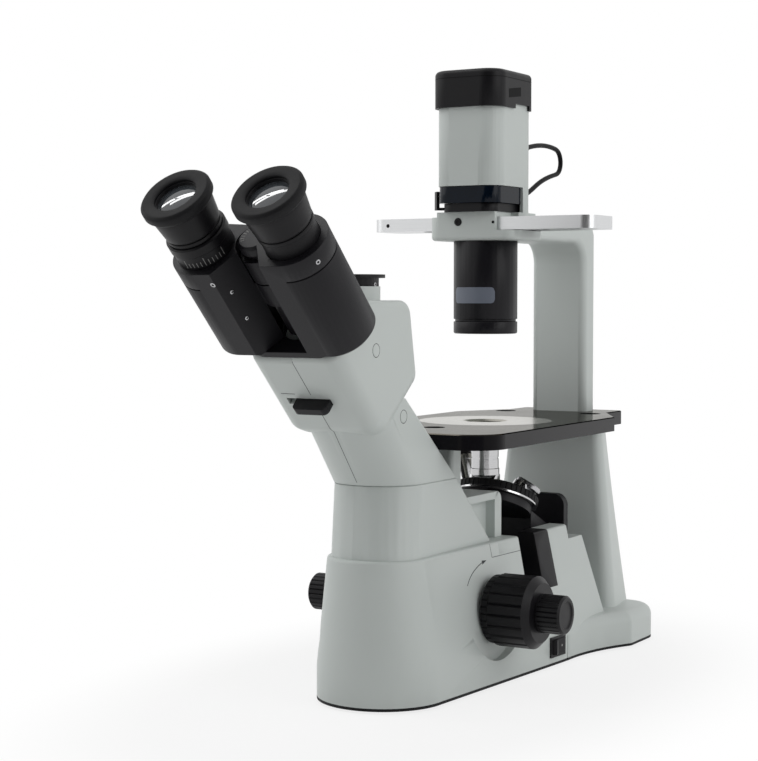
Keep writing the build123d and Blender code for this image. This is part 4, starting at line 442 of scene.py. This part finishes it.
def finish(name):
    """A finish by its name, made on first use."""
    if name not in FINISHES:
        colours = bpy.context.scene.microscope_colours
        # The first three numbers of paint and moulded: roughness, then size and depth of the grain in metres
        makers = {
            "grey_paint": lambda: paint(name, colours.grey, 0.46, 0.0011, 0.00010),
            "black_paint": lambda: paint(name, colours.black, 0.46, 0.0006, 0.00012, 0.08, 0.25, 0.5),
            "condenser_black": lambda: paint(name, colours.black, 0.34, 0.0008, 0.00005, 0.06, 0.2, 0.3),
            "black_plastic": lambda: moulded(name, colours.plastic, 0.42, 0.0007, 0.00006),
            "black_rubber": lambda: moulded(name, colours.rubber, 0.62, 0.0009, 0.0001, 0.2, 0.1),
            "lead_jacket": lambda: moulded(name, shade(colours.rubber, 0.5)[:3], 0.5, 0.0012, 0.00004, 0.12),
            "sheet_steel": lambda: paint(name, colours.plastic, 0.5, 0.0008, 0.0001, 0.1, 0.2),
            "stage_black": lambda: anodised(name, colours.stage, colours.black, linear(142, 140, 131)),
            "blue_plastic": lambda: moulded(name, colours.drawer, 0.16, 0.002, 0.00002, 0.15),
            "label_film": lambda: paint(name, colours.label, 0.35, 0.0008, 0.00003, 0.05, 0.3),
            "printed_mark": lambda: paint(name, colours.mark, 0.55, 0.0006, 0.00003, 0.1, 0.3),
            "white_mark": lambda: paint(name, linear(140, 140, 138), 0.5, 0.0006, 0.00003, 0.04),
            "deep_black": lambda: paint(name, linear(7, 7, 8), 0.6, 0.0006, 0.00003, 0.1, 0.1),
            "joint_gap": lambda: paint(name, linear(104, 108, 107), 0.7, 0.0006, 0.00003, 0.1, 0.1),
            "turned_chrome": lambda: bare_metal(name, linear(196, 196, 197), 0.15, (0.05, 0.05, 1.0)),
            "bright_aluminium": lambda: bare_metal(name, linear(214, 215, 216), 0.33, (0.02, 1.0, 1.0)),
            "pale_insert": lambda: bare_metal(name, linear(170, 168, 160), 0.24, (1.0, 0.04, 1.0)),
            "ground_steel": lambda: bare_metal(name, linear(176, 176, 178), 0.26, (1.0, 0.05, 1.0)),
            "bearing_brass": lambda: bare_metal(name, linear(84, 74, 56), 0.4, (0.05, 1.0, 1.0)),
            "mirror_coat": lambda: bare_metal(name, linear(236, 238, 240), 0.05, None, 0.002, 0.000004),
            "lens_glass": lambda: clear_glass(name, linear(66, 70, 74)),
            "filter_glass": lambda: clear_glass(name, linear(70, 104, 150)),
        }
        FINISHES[name] = makers[name]()
    return FINISHES[name]


def dress(finish_name, *names):
    """Gives CAD nodes a finish."""
    for name in names:
        node = NODES[name]
        if not node.material_slots:
            node.data.materials.append(None)
        for held in node.material_slots:
            held.material = finish(finish_name)


def soften(width, *names):
    """Rounds the sharp edges of CAD nodes with modifiers."""
    for name in names:
        weld = NODES[name].modifiers.new("weld", "WELD")
        weld.merge_threshold = SAME_POINT
        bevel = NODES[name].modifiers.new("edge", "BEVEL")
        bevel.width = width
        bevel.segments = 2
        bevel.limit_method = "ANGLE"
        bevel.angle_limit = math.radians(BEVEL_ANGLE)
        bevel.harden_normals = True
        bevel.use_clamp_overlap = True


# Places and meshes


def spot(x, y, z):
    """A point measured from the optical axis at bench level, in the frame."""
    return Vector((x * MM, y * MM + AXIS_Y, z * MM))


def upright(x, y, z):
    """A frame at a point with its z axis up."""
    return Matrix.Translation(spot(x, y, z))


def facing(point, outward):
    """A frame at a point whose z axis looks outward."""
    out = Vector(outward).normalized()
    side = Vector((0, 0, 1)).cross(out)
    if side.length < SAME_POINT:
        side = Vector((1, 0, 0))
    side.normalize()
    rise = out.cross(side)
    turn = Matrix((side, rise, out)).transposed().to_4x4()
    return Matrix.Translation(point) @ turn


def slope(x=0.0, drop=0.0, along=0.0):
    """A frame on the eyepiece unit: z into the head, y down its front."""
    turn = Matrix(((1, 0, 0), (0, -DIAGONAL, DIAGONAL), (0, -DIAGONAL, -DIAGONAL))).to_4x4()
    return Matrix.Translation(spot(*SLOPE_START)) @ turn @ Matrix.Translation(Vector((x, drop, along)) * MM)


def lathe(bm, frame_matrix, outline, steps, material=0, flats=None):
    """Turns an outline of radius and height, in millimetres, about a frame's z axis; flats makes hexagons."""
    rings = []
    for radius, height in outline:
        ring = []
        for i in range(steps if radius else 1):
            angle = math.tau * i / steps
            reach = radius
            if flats and radius <= flats:
                reach = radius * math.cos(math.pi / 6) / math.cos((angle % (math.pi / 3)) - math.pi / 6)
            point = Vector((reach * math.cos(angle), reach * math.sin(angle), height)) * MM
            ring.append(bm.verts.new(frame_matrix @ point))
        rings.append(ring)
    for low, high in zip(rings, rings[1:]):
        for i in range(steps):
            j = (i + 1) % steps
            corners = [low[i % len(low)], low[j % len(low)], high[j % len(high)], high[i % len(high)]]
            corners = list(dict.fromkeys(corners))
            if len(corners) > 2:
                bm.faces.new(corners).material_index = material


def piece(name, bm, finishes, body, smooth=True):
    """An object from a bmesh, with its finishes, on a body."""
    bmesh.ops.recalc_face_normals(bm, faces=bm.faces)
    mesh = bpy.data.meshes.new(name)
    bm.to_mesh(mesh)
    bm.free()
    for each in finishes:
        mesh.materials.append(finish(each))
    if smooth:
        mesh.polygons.foreach_set("use_smooth", [True] * len(mesh.polygons))
        mesh.set_sharp_from_angle(angle=math.radians(SMOOTH_ANGLE))
    made = bpy.data.objects.new(name, mesh)
    bpy.context.scene.collection.objects.link(made)
    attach(made, body)


def socket_screw(bm, frame_matrix, radius, height):
    """A screw head with a hexagon socket whose floor is painted dark, as shade in the recess."""
    socket, floor, sunk = radius * 0.55, height * 0.2, -0.2
    # The socket's floor takes the second finish: painted shade at the bottom of the recess
    lathe(bm, frame_matrix, ((0, floor), (socket, floor)), 24, 1, socket)
    lathe(bm, frame_matrix, (
        (socket, floor), (socket, height), (radius * 0.86, height), (radius, height * 0.7),
        (radius, sunk), (0, sunk),
    ), 24, 0, socket)
    bmesh.ops.remove_doubles(bm, verts=bm.verts, dist=SAME_POINT)


def cast_on(node, point, direction):
    """Where a ray meets a CAD node, and the surface's normal there."""
    held = NODES[node].matrix_world
    back = held.inverted()
    heading = back.to_3x3() @ Vector(direction).normalized()
    hit, where, normal, _ = NODES[node].ray_cast(back @ point, heading)
    if not hit:
        raise RuntimeError("a mark misses " + node)
    return held @ where, (held.to_3x3() @ normal).normalized()


def seen_at(node, px, py):
    """The place on a CAD node that the camera meets first at a pixel, and the surface's normal there."""
    focal = bpy.context.scene.microscope_studio.lens / SENSOR * max(IMAGE)
    right = LOOK.cross(Vector((0, 0, 1))).normalized()
    up = right.cross(LOOK)
    ray = LOOK + right * (px - IMAGE[0] / 2) / focal - up * (py - IMAGE[1] / 2) / focal
    return cast_on(node, spot(*CAMERA), ray)


def between_pixels(node, start, end, steps):
    """Places on a CAD node along a straight line of the picture."""
    start, end = Vector(start), Vector(end)
    return [seen_at(node, *start.lerp(end, i / steps)) for i in range(steps + 1)]


def strip(bm, rings, closed=False):
    """Skins a row of rings, each a list of points, and closes its ends."""
    made = [[bm.verts.new(point) for point in ring] for ring in rings]
    for last, ring in zip(made, made[1:] + (made[:1] if closed else [])):
        for i in range(len(ring)):
            j = (i + 1) % len(ring)
            bm.faces.new((last[i], last[j], ring[j], ring[i]))
    if not closed:
        bm.faces.new(made[0])
        bm.faces.new(made[-1][::-1])


def ribbon(bm, found, width, closed=False):
    """A thin strip along places on a surface, each given with its normal."""
    rings = []
    for i, (point, normal) in enumerate(found):
        if closed:
            ahead = found[(i + 1) % len(found)][0] - found[i - 1][0]
        else:
            ahead = found[min(i + 1, len(found) - 1)][0] - found[max(i - 1, 0)][0]
        side = normal.cross(ahead).normalized() * width / 2
        rings.append([point + side * across + normal * INK * up
                      for across, up in ((-1, -1), (-1, 1), (1, 1), (1, -1))])
    strip(bm, rings, closed)


def tile(bm, corners):
    """A thin plate on a surface, from its corners, each given with its normal."""
    low, high = ([bm.verts.new(point + normal * INK * up) for point, normal in corners] for up in (-1, 1))
    bm.faces.new(high)
    bm.faces.new(low[::-1])
    for i in range(len(corners)):
        j = (i + 1) % len(corners)
        bm.faces.new((low[i], low[j], high[j], high[i]))


# Operators


class MICROSCOPE_OT_studio(bpy.types.Operator):
    """Pale floor, soft light from all sides with large lights and a dark card, and the camera"""

    bl_idname = "microscope.studio"
    bl_label = "Studio"

    def execute(self, context):
        studio = context.scene.microscope_studio
        scene = context.scene
        scene.view_settings.view_transform = "Standard"
        self.surround(scene, studio)
        self.floor(scene)
        self.card(scene)
        self.light(scene, "key_light", *KEY_LIGHT, studio.key)
        self.light(scene, "fill_light", *FILL_LIGHT, studio.fill)
        for number, light in enumerate(STRIP_LIGHTS):
            self.light(scene, f"strip_light_{number}", *light, studio.strips)
        camera = bpy.data.objects.new("camera", bpy.data.cameras.new("camera"))
        scene.collection.objects.link(camera)
        camera.data.lens = studio.lens
        camera.data.sensor_width = SENSOR
        camera.data.clip_end = 50.0
        camera.location = spot(*CAMERA)
        camera.rotation_euler = LOOK.to_track_quat("-Z", "Y").to_euler()
        scene.camera = camera
        return {"FINISHED"}

    def surround(self, scene, studio):
        """White surround, stronger to the camera and to mirrors than as light."""
        sky = Finish("surround", "worlds")
        scene.world = sky.material
        glow = sky.node("ShaderNodeBackground", None, {
            "Color": (1, 1, 1, 1), "Strength": studio.ambient + (1 - studio.ambient) * sky.straight()})
        sky.node("ShaderNodeOutputWorld", None, {"Surface": glow})

    def floor(self, scene):
        """Paper floor that fades to plain white away from the object."""
        bm = bmesh.new()
        bmesh.ops.create_circle(bm, cap_ends=True, radius=FLOOR_RADIUS, segments=96)
        mesh = bpy.data.meshes.new("floor")
        bm.to_mesh(mesh)
        bm.free()
        floor = bpy.data.objects.new("floor", mesh)
        scene.collection.objects.link(floor)
        coat = Finish("pale_floor")
        around = coat.scaled(SHADOW_SCALE)
        reach = coat.node("ShaderNodeVectorMath", {"operation": "LENGTH"}, {0: around}, out="Value")
        far = coat.node("ShaderNodeMapRange", {"interpolation_type": "SMOOTHSTEP"}, {
            "Value": reach, "From Min": SHADOW_REACH[0], "From Max": SHADOW_REACH[1]})
        grain = coat.noise(0.003, 3.0)
        paper = coat.node("ShaderNodeBsdfDiffuse", None, {
            "Color": coat.between(grain, (0.86, 0.86, 0.86, 1), (0.9, 0.9, 0.9, 1))})
        glow = coat.node("ShaderNodeEmission", None, {"Color": (1, 1, 1, 1), "Strength": 1.0})
        share = coat.straight() * (NEAR_GLOW + (1 - NEAR_GLOW) * far)
        shader = coat.node("ShaderNodeMixShader", None, {0: share, 1: paper, 2: glow})
        coat.node("ShaderNodeOutputMaterial", None, {"Surface": shader})
        mesh.materials.append(coat.material)

    def card(self, scene):
        """Dark card that the camera doesn't see, only its mirror image."""
        bm = bmesh.new()
        bmesh.ops.create_grid(bm, x_segments=8, y_segments=8, size=0.5)
        width, height, bend = CARD_SHAPE
        for vert in bm.verts:
            vert.co = Vector((width * vert.co.x, height * vert.co.y, bend * vert.co.x ** 2))
        mesh = bpy.data.meshes.new("dark_card")
        bm.to_mesh(mesh)
        bm.free()
        coat = Finish("dark_card")
        felt = coat.noise(0.002, 3.0)
        mesh.materials.append(coat.surface(
            Base_Color=coat.between(felt, (0.02, 0.02, 0.02, 1), (0.035, 0.035, 0.035, 1)), Roughness=0.9,
            Specular_IOR_Level=0.0))
        card = bpy.data.objects.new("dark_card", mesh)
        scene.collection.objects.link(card)
        card.location = spot(*CARD)
        card.rotation_euler = (spot(*CARD_TARGET) - card.location).to_track_quat("Z", "Y").to_euler()
        card.visible_camera = False
        card.visible_shadow = False

    def light(self, scene, name, place, width, height, power):
        """A large lamp that looks at the object."""
        lamp = bpy.data.lights.new(name, "AREA")
        lamp.shape = "RECTANGLE"
        lamp.size = width
        lamp.size_y = height
        lamp.energy = power
        made = bpy.data.objects.new(name, lamp)
        scene.collection.objects.link(made)
        made.location = place
        made.rotation_euler = (LIGHT_TARGET - made.location).to_track_quat("-Z", "Y").to_euler()


class MICROSCOPE_OT_lamp_lead(bpy.types.Operator):
    """Short lead that leaves the lamp house at the back and goes into it again"""

    bl_idname = "microscope.lamp_lead"
    bl_label = "Lamp lead"

    def execute(self, context):
        sizes = context.scene.microscope_sizes
        route = [spot(LEAD_X, HOUSE_EDGE[0] + y, HOUSE_EDGE[1] + z) for y, z in LEAD_ROUTE]
        curve = bpy.data.curves.new("lamp_lead_cord", "CURVE")
        curve.dimensions = "3D"
        curve.bevel_depth = sizes.lead / 2
        curve.bevel_resolution = 4
        curve.use_fill_caps = True
        line = curve.splines.new("NURBS")
        line.points.add(len(route) - 1)
        for held, point in zip(line.points, route):
            held.co = (*point, 1.0)
        line.order_u = 3
        line.use_endpoint_u = True
        line.resolution_u = 8
        curve.materials.append(finish("lead_jacket"))
        lead = bpy.data.objects.new("lamp_lead_cord", curve)
        context.scene.collection.objects.link(lead)
        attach(lead, "stand")
        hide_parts("lamp_lead")
        dress("black_rubber", "lead_glands")
        return {"FINISHED"}


class MICROSCOPE_OT_castings(bpy.types.Operator):
    """Grey paint and soft edges of base, head, column and lamp house"""

    bl_idname = "microscope.castings"
    bl_label = "Castings"

    def execute(self, context):
        edge = context.scene.microscope_sizes.edge
        names = ("base_casting", "deck_cover", "beam_housing", "stage_post", "head_shell_left",
                 "head_shell_right", "arm_casting", "lamp_house")
        dress("grey_paint", *names)
        soften(edge * CASTING_EDGE, *names)
        return {"FINISHED"}


class MICROSCOPE_OT_eyepiece_unit(bpy.types.Operator):
    """Finishes of flange, hinge, prism housings, tubes, eyepieces and eyecups"""

    bl_idname = "microscope.eyepiece_unit"
    bl_label = "Eyepiece unit"

    def execute(self, context):
        edge = context.scene.microscope_sizes.edge
        both = ("left", "right")
        dress("black_paint", "eyepiece_flange", "hinge_post", *("prism_housing_" + side for side in both))
        soften(edge, "eyepiece_flange", "hinge_post", *("prism_housing_" + side for side in both))
        dress("black_plastic", "diopter_ring", "beam_selector", "camera_port",
              *("eyepiece_" + side for side in both), *("eyepiece_tube_" + side for side in both))
        soften(edge, "camera_port", "beam_selector", *("eyepiece_" + side for side in both))
        dress("black_rubber", *("eyecup_" + side for side in both))
        soften(edge, *("eyecup_" + side for side in both))
        dress("lens_glass", "splitter_prism", *("eye_lens_" + side for side in both))
        return {"FINISHED"}


class MICROSCOPE_OT_stage_plate(bpy.types.Operator):
    """Anodised stage plate and pale insert"""

    bl_idname = "microscope.stage_plate"
    bl_label = "Stage"

    def execute(self, context):
        dress("stage_black", "stage_plate")
        dress("pale_insert", "stage_insert")
        return {"FINISHED"}


class MICROSCOPE_OT_condenser(bpy.types.Operator):
    """Condenser tube with its blank label, slider, filter drawer, lamp seat and cap"""

    bl_idname = "microscope.condenser"
    bl_label = "Condenser and lamp"

    def execute(self, context):
        edge = context.scene.microscope_sizes.edge
        dress("condenser_black", "condenser_tube", "condenser_ring")
        soften(edge, "condenser_tube", "condenser_ring")
        dress("black_plastic", "lamp_seat", "lamp_cap", "iris_lever")
        soften(edge, "lamp_seat", "lamp_cap")
        dress("blue_plastic", "filter_drawer")
        soften(edge, "filter_drawer")
        dress("bright_aluminium", "phase_slider")
        dress("lens_glass", "condenser_lens", "lamp_bulb")
        self.label()
        return {"FINISHED"}

    def label(self):
        """Thin film with round corners on the tube's front."""
        bm = bmesh.new()
        radius, low, high, corner = LABEL
        start, end = (math.radians(angle) for angle in LABEL_ANGLES)
        steps = 40
        length = radius * (end - start)
        rings = []
        for i in range(steps + 1):
            along = length * i / steps
            near = min(along, length - along, corner)
            cut = corner - math.sqrt(corner ** 2 - (corner - near) ** 2)
            angle = start + along / radius
            bottom, top = low + cut, high - cut
            rings.append([spot(reach * math.cos(angle), reach * math.sin(angle), z) for reach, z in (
                (radius - FILM, bottom), (radius - FILM, top), (radius, top), (radius, bottom))])
        strip(bm, rings)
        piece("condenser_label", bm, ["label_film"], "stand")


class MICROSCOPE_OT_nosepiece(bpy.types.Operator):
    """Turret, grip ring, objectives and the carriage under them"""

    bl_idname = "microscope.nosepiece"
    bl_label = "Nosepiece"

    def execute(self, context):
        dress("turned_chrome", "objectives", "turret")
        dress("black_rubber", "turret_grip")
        dress("ground_steel", "turret_pivot", "guide_post", "rack", "socket_plug")
        dress("black_paint", "carriage", "rear_guard")
        return {"FINISHED"}


class MICROSCOPE_OT_focus_drive(bpy.types.Operator):
    """Knobs, collar, shafts and bushings"""

    bl_idname = "microscope.focus_drive"
    bl_label = "Focus drive"

    def execute(self, context):
        edge = context.scene.microscope_sizes.edge
        dress("black_plastic", "coarse_knobs", "fine_focus", "tension_collar", "side_covers")
        soften(edge, "side_covers", "tension_collar")
        dress("ground_steel", "pinion_shaft")
        dress("bearing_brass", "shaft_bushings")
        dress("mirror_coat", "mirrors")
        return {"FINISHED"}


class MICROSCOPE_OT_electrics(bpy.types.Operator):
    """Switch, dial, inlet, bottom plate and feet"""

    bl_idname = "microscope.electrics"
    bl_label = "Switch, dial and feet"

    def execute(self, context):
        dress("black_plastic", "switch_frame", "switch_rocker", "brightness_dial", "mains_inlet")
        dress("sheet_steel", "bottom_plate")
        dress("black_rubber", "rubber_feet")
        return {"FINISHED"}


class MICROSCOPE_OT_plugs(bpy.types.Operator):
    """Plugs over the screws on both sides of the head, each in a dark ring of painted shade"""

    bl_idname = "microscope.plugs"
    bl_label = "Head plugs"

    def execute(self, context):
        radius = context.scene.microscope_sizes.plug / MM
        rim = radius + PLUG_SHADE_RING
        dome = ((0, 0.30), (radius * 0.6, 0.28), (radius - 0.3, 0.22), (radius, 0.02))
        # Dark ring around the dome: painted shade of the gap between plug and head, in the printed mark's
        # colour
        around = ((radius, 0.02), (rim, 0.03), (rim, -0.3), (0, -0.3))
        for side, name in ((1, "right"), (-1, "left")):
            for number, (x, y, z) in enumerate(HEAD_PLUGS):
                bm = bmesh.new()
                place = facing(spot(side * x, y, z), (side, 0, 0))
                lathe(bm, place, dome, 40, 0)
                lathe(bm, place, around, 40, 1)
                bmesh.ops.remove_doubles(bm, verts=bm.verts, dist=SAME_POINT)
                piece(f"head_plug_{name}_{number}", bm, ["grey_paint", "printed_mark"], "stand")
        return {"FINISHED"}


class MICROSCOPE_OT_small_screws(bpy.types.Operator):
    """Small screws of the prism housings, the camera port, the condenser holder and the slider"""

    bl_idname = "microscope.small_screws"
    bl_label = "Small screws"

    def execute(self, context):
        for name, node, body, radius, height, made_of in (
            ("housing_screw_right", "prism_housing_right", "arm_right", 1.7, 0.35, "ground_steel"),
            ("housing_screw_left_0", "prism_housing_left", "arm_left", 1.9, 0.35, "ground_steel"),
            ("housing_screw_left_1", "prism_housing_left", "arm_left", 1.5, 0.35, "ground_steel"),
            ("housing_screw_left_2", "prism_housing_left", "arm_left", 1.5, 0.35, "ground_steel"),
            ("port_screw", "camera_port", "stand", 1.5, 0.35, "ground_steel"),
            ("holder_screw", "arm_casting", "stand", 3.3, 0.5, "black_plastic"),
            ("holder_screw_small", "arm_casting", "stand", 1.2, 0.35, "black_plastic"),
            ("slider_screw", "phase_slider", "phase_slider", 1.6, 0.1, "black_plastic"),
        ):
            point, normal = seen_at(node, *SCREW_PIXELS[name])
            bm = bmesh.new()
            socket_screw(bm, facing(point, normal), radius, height)
            # The second finish, black rubber, is painted shade on the floor of each socket
            piece(name, bm, [made_of, "black_rubber"], body)
        return {"FINISHED"}


class MICROSCOPE_OT_plate_screws(bpy.types.Operator):
    """Screws that hold the bottom plate"""

    bl_idname = "microscope.plate_screws"
    bl_label = "Bottom plate screws"

    def execute(self, context):
        for number, (x, y) in enumerate(PLATE_SCREWS):
            point, normal = cast_on("bottom_plate", spot(x, y, UNDER_PLATE_Z), (0, 0, 1))
            bm = bmesh.new()
            socket_screw(bm, facing(point, normal), *PLATE_SCREW)
            # The second finish, black rubber, is painted shade on the floor of each socket
            piece(f"plate_screw_{number}", bm, ["ground_steel", "black_rubber"], "stand")
        return {"FINISHED"}


class MICROSCOPE_OT_bottom_edge(bpy.types.Operator):
    """Dark strip under the rim of the base casting: partly the black bottom plate and feet, partly painted
    shade of the gap under the base
    """

    bl_idname = "microscope.bottom_edge"
    bl_label = "Bottom edge"

    def execute(self, context):
        thick = context.scene.microscope_sizes.strip
        base = NODES["base_casting"]
        bm = bmesh.new()
        bm.from_mesh(base.data)
        bm.transform(base.matrix_world)
        low = min(vert.co.z for vert in bm.verts)
        rim = [face for face in bm.faces
               if face.normal.z < LOOKS_DOWN and face.calc_center_median().z < low + RIM_DEPTH]
        if not rim:
            raise RuntimeError("the base casting has no rim")
        bmesh.ops.delete(bm, geom=list(set(bm.faces) - set(rim)), context="FACES")
        bmesh.ops.remove_doubles(bm, verts=bm.verts, dist=SAME_POINT)
        grown = bmesh.ops.extrude_face_region(bm, geom=bm.faces[:], use_keep_orig=True)
        for made in grown["geom"]:
            if isinstance(made, bmesh.types.BMVert):
                made.co.z -= thick
        for face in bm.faces:
            face.material_index = 0
        # Black rubber strip: in part the plate and feet, in part painted shade where the gap under the base
        # lies in shadow
        piece("bottom_edge", bm, ["black_rubber"], "stand", smooth=False)
        return {"FINISHED"}


class MICROSCOPE_OT_hinge_scale(bpy.types.Operator):
    """Scale on the cap of the hinge between the eyepieces"""

    bl_idname = "microscope.hinge_scale"
    bl_label = "Hinge scale"

    def execute(self, context):
        bm = bmesh.new()
        inward = slope().to_3x3() @ Vector((0, 0, 1))
        for angle in SCALE_ANGLES:
            turn = math.radians(angle)
            found = []
            for radius in SCALE_RADII:
                over = slope(radius * math.cos(turn), radius * math.sin(turn), OVER_HINGE).translation
                found.append(cast_on("hinge_post", over, inward))
            ribbon(bm, found, LINE_WIDTH)
        piece("hinge_scale", bm, ["white_mark"], "stand")
        return {"FINISHED"}


class MICROSCOPE_OT_cap_lines(bpy.types.Operator):
    """Parting line around the lamp cap, and a dark tile of painted shade where the slot in its side is"""

    bl_idname = "microscope.cap_lines"
    bl_label = "Lamp cap lines"

    def execute(self, context):
        bm = bmesh.new()
        middle = (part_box("lamp_cap")[0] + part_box("lamp_cap")[1]) / 2
        middle.z = CAP_LINE_Z * MM
        found = []
        for i in range(CAP_LINE_STEPS):
            angle = math.tau * i / CAP_LINE_STEPS
            out = Vector((math.cos(angle), math.sin(angle), 0))
            found.append(cast_on("lamp_cap", middle + out * CAP_RAY_START, -out))
        ribbon(bm, found, LINE_WIDTH, closed=True)
        piece("cap_line", bm, ["deep_black"], "stand")
        bm = bmesh.new()
        # The slot is a flat deep black tile on the cap: painted shade of its opening
        tile(bm, [seen_at("lamp_cap", *pixel) for pixel in CAP_SLOT_PIXELS])
        piece("cap_slot_shade", bm, ["deep_black"], "stand", smooth=False)
        return {"FINISHED"}


class MICROSCOPE_OT_marks(bpy.types.Operator):
    """Joint lines of head and deck, line by the selector, arrow by the knob and marks on ring and switch"""

    bl_idname = "microscope.marks"
    bl_label = "Lines and marks"

    def execute(self, context):
        self.head_joint()
        self.deck_line()
        self.selector_line()
        self.arrow()
        self.ticks(context.scene.microscope_sizes.ticks)
        self.dot()
        return {"FINISHED"}

    def head_joint(self):
        """Joint line down the front of the head."""
        bm = bmesh.new()
        for first, last in HEAD_JOINT:
            found = []
            steps = int((last - first) / HEAD_JOINT_STEP)
            for i in range(steps + 1):
                start = slope(*HEAD_RAY, first + (last - first) * i / steps).translation
                where, normal = cast_on("head_shell_right", start, (0, DIAGONAL, DIAGONAL))
                if where.z < HEAD_JOINT_END_Z * MM:
                    break
                found.append((Vector((0, where.y, where.z)), Vector((0, normal.y, normal.z)).normalized()))
            ribbon(bm, found, LINE_WIDTH)
        piece("head_joint_line", bm, ["joint_gap"], "stand")

    def deck_line(self):
        """Joint line by the deck, on the base casting."""
        bm = bmesh.new()
        for start, end in zip(DECK_LINE_PIXELS, DECK_LINE_PIXELS[1:]):
            ribbon(bm, between_pixels("base_casting", start, end, 10), LINE_WIDTH)
        piece("deck_line", bm, ["joint_gap"], "stand")

    def selector_line(self):
        """Short line on the head beside the beam selector."""
        bm = bmesh.new()
        ribbon(bm, between_pixels("head_shell_left", *SELECTOR_LINE_PIXELS, 7), LINE_WIDTH)
        piece("selector_line", bm, ["printed_mark"], "stand")

    def arrow(self):
        """Bent arrow beside the right knob."""
        bm = bmesh.new()
        tail, bend, neck, tip = (Vector(pixel) for pixel in ARROW_PIXELS)
        path = []
        steps = 12
        for i in range(steps + 1):
            share = i / steps
            pixel = tail.lerp(bend, share).lerp(bend.lerp(neck, share), share)
            path.append(seen_at("base_casting", *pixel))
        ribbon(bm, path, ARROW_WIDTH)
        end, up = path[-1]
        point = seen_at("base_casting", *tip)
        side = up.cross(point[0] - end).normalized() * ARROW_TIP
        tile(bm, ((end - side, up), (end + side, up), point))
        piece("knob_arrow", bm, ["printed_mark"], "stand")

    def ticks(self, count):
        """Marks on the diopter ring, long at zero and at both ends."""
        bm = bmesh.new()
        low, high = DIOPTER_MARKS
        for i in range(-count, count + 1):
            angle = math.radians(DIOPTER_ZERO + DIOPTER_STEP * i)
            out = slope().to_3x3() @ Vector((math.cos(angle), math.sin(angle), 0))
            short = DIOPTER_SHORT if i % count else 0.0
            found = []
            for along in (low + short, high):
                start = slope(-TUBE[0], TUBE[1], along).translation + out * DIOPTER_RAY_START
                found.append(cast_on("diopter_ring", start, -out))
            ribbon(bm, found, LINE_WIDTH)
        piece("diopter_marks", bm, ["white_mark"], "diopter_ring")

    def dot(self):
        """Pale dot on the rocker."""
        bm = bmesh.new()
        where, normal = cast_on("switch_rocker", spot(*SWITCH_DOT_RAY), (-1, 0, 0))
        lathe(bm, facing(where, normal), ((0, 0.06), (0.9, 0.06), (1.0, -0.06), (0, -0.06)), 20)
        piece("switch_dot", bm, ["white_mark"], "switch_rocker")


class MICROSCOPE_OT_inner_glass(bpy.types.Operator):
    """Filter in the drawer and phase rings in the slider"""

    bl_idname = "microscope.inner_glass"
    bl_label = "Filter and phase rings"

    def execute(self, context):
        bm = bmesh.new()
        radius, low, high = FILTER_DISC
        lathe(bm, upright(0, 0, 0), (
            (0, low), (radius, low), (radius, high - GLASS_BEVEL), (radius - GLASS_BEVEL, high), (0, high),
        ), 64)
        piece("filter_disc", bm, ["filter_glass"], "filter_drawer")
        radius, low, high = RING_DISC
        for number, (x, inner) in enumerate(PHASE_RINGS):
            outer = inner + RING_WIDTH
            bm = bmesh.new()
            lathe(bm, upright(x, 0, 0), ((0, high), (inner, high)), 64, 0)
            lathe(bm, upright(x, 0, 0), ((inner, high), (outer, high)), 64, 1)
            lathe(bm, upright(x, 0, 0), (
                (outer, high), (radius - GLASS_BEVEL, high), (radius, high - GLASS_BEVEL),
                (radius, low), (0, low),
            ), 64, 0)
            bmesh.ops.remove_doubles(bm, verts=bm.verts, dist=SAME_POINT)
            piece(f"phase_ring_{number}", bm, ["black_paint", "lens_glass"], "phase_slider")
        return {"FINISHED"}


class MICROSCOPE_PT_panel(bpy.types.Panel):
    """Sidebar panel with the settings and the steps in their order"""

    bl_idname = "MICROSCOPE_PT_panel"
    bl_label = "Inverted Microscope"
    bl_space_type = "VIEW_3D"
    bl_region_type = "UI"
    bl_category = "Microscope"

    def draw(self, context):
        for group in ("microscope_colours", "microscope_sizes", "microscope_studio"):
            held = getattr(context.scene, group)
            box = self.layout.box()
            for key in held.__annotations__:
                box.prop(held, key)
        for step in STEPS:
            self.layout.operator(step.bl_idname)


GROUPS = (
    ("microscope_colours", MicroscopeColours),
    ("microscope_sizes", MicroscopeSizes),
    ("microscope_studio", MicroscopeStudio),
)
STEPS = (
    MICROSCOPE_OT_studio, MICROSCOPE_OT_lamp_lead, MICROSCOPE_OT_castings, MICROSCOPE_OT_eyepiece_unit,
    MICROSCOPE_OT_stage_plate, MICROSCOPE_OT_condenser, MICROSCOPE_OT_nosepiece, MICROSCOPE_OT_focus_drive,
    MICROSCOPE_OT_electrics, MICROSCOPE_OT_plugs, MICROSCOPE_OT_small_screws, MICROSCOPE_OT_plate_screws,
    MICROSCOPE_OT_bottom_edge, MICROSCOPE_OT_hinge_scale, MICROSCOPE_OT_cap_lines, MICROSCOPE_OT_marks,
    MICROSCOPE_OT_inner_glass,
)


def register():
    for name, group in GROUPS:
        bpy.utils.register_class(group)
        setattr(bpy.types.Scene, name, PointerProperty(type=group))
    for step in STEPS:
        bpy.utils.register_class(step)
    bpy.utils.register_class(MICROSCOPE_PT_panel)


def unregister():
    bpy.utils.unregister_class(MICROSCOPE_PT_panel)
    for step in reversed(STEPS):
        bpy.utils.unregister_class(step)
    for name, group in reversed(GROUPS):
        delattr(bpy.types.Scene, name)
        bpy.utils.unregister_class(group)


def main():
    register()
    for step in STEPS:
        family, name = step.bl_idname.split(".")
        getattr(getattr(bpy.ops, family), name)()


if __name__ == "__main__":
    main()
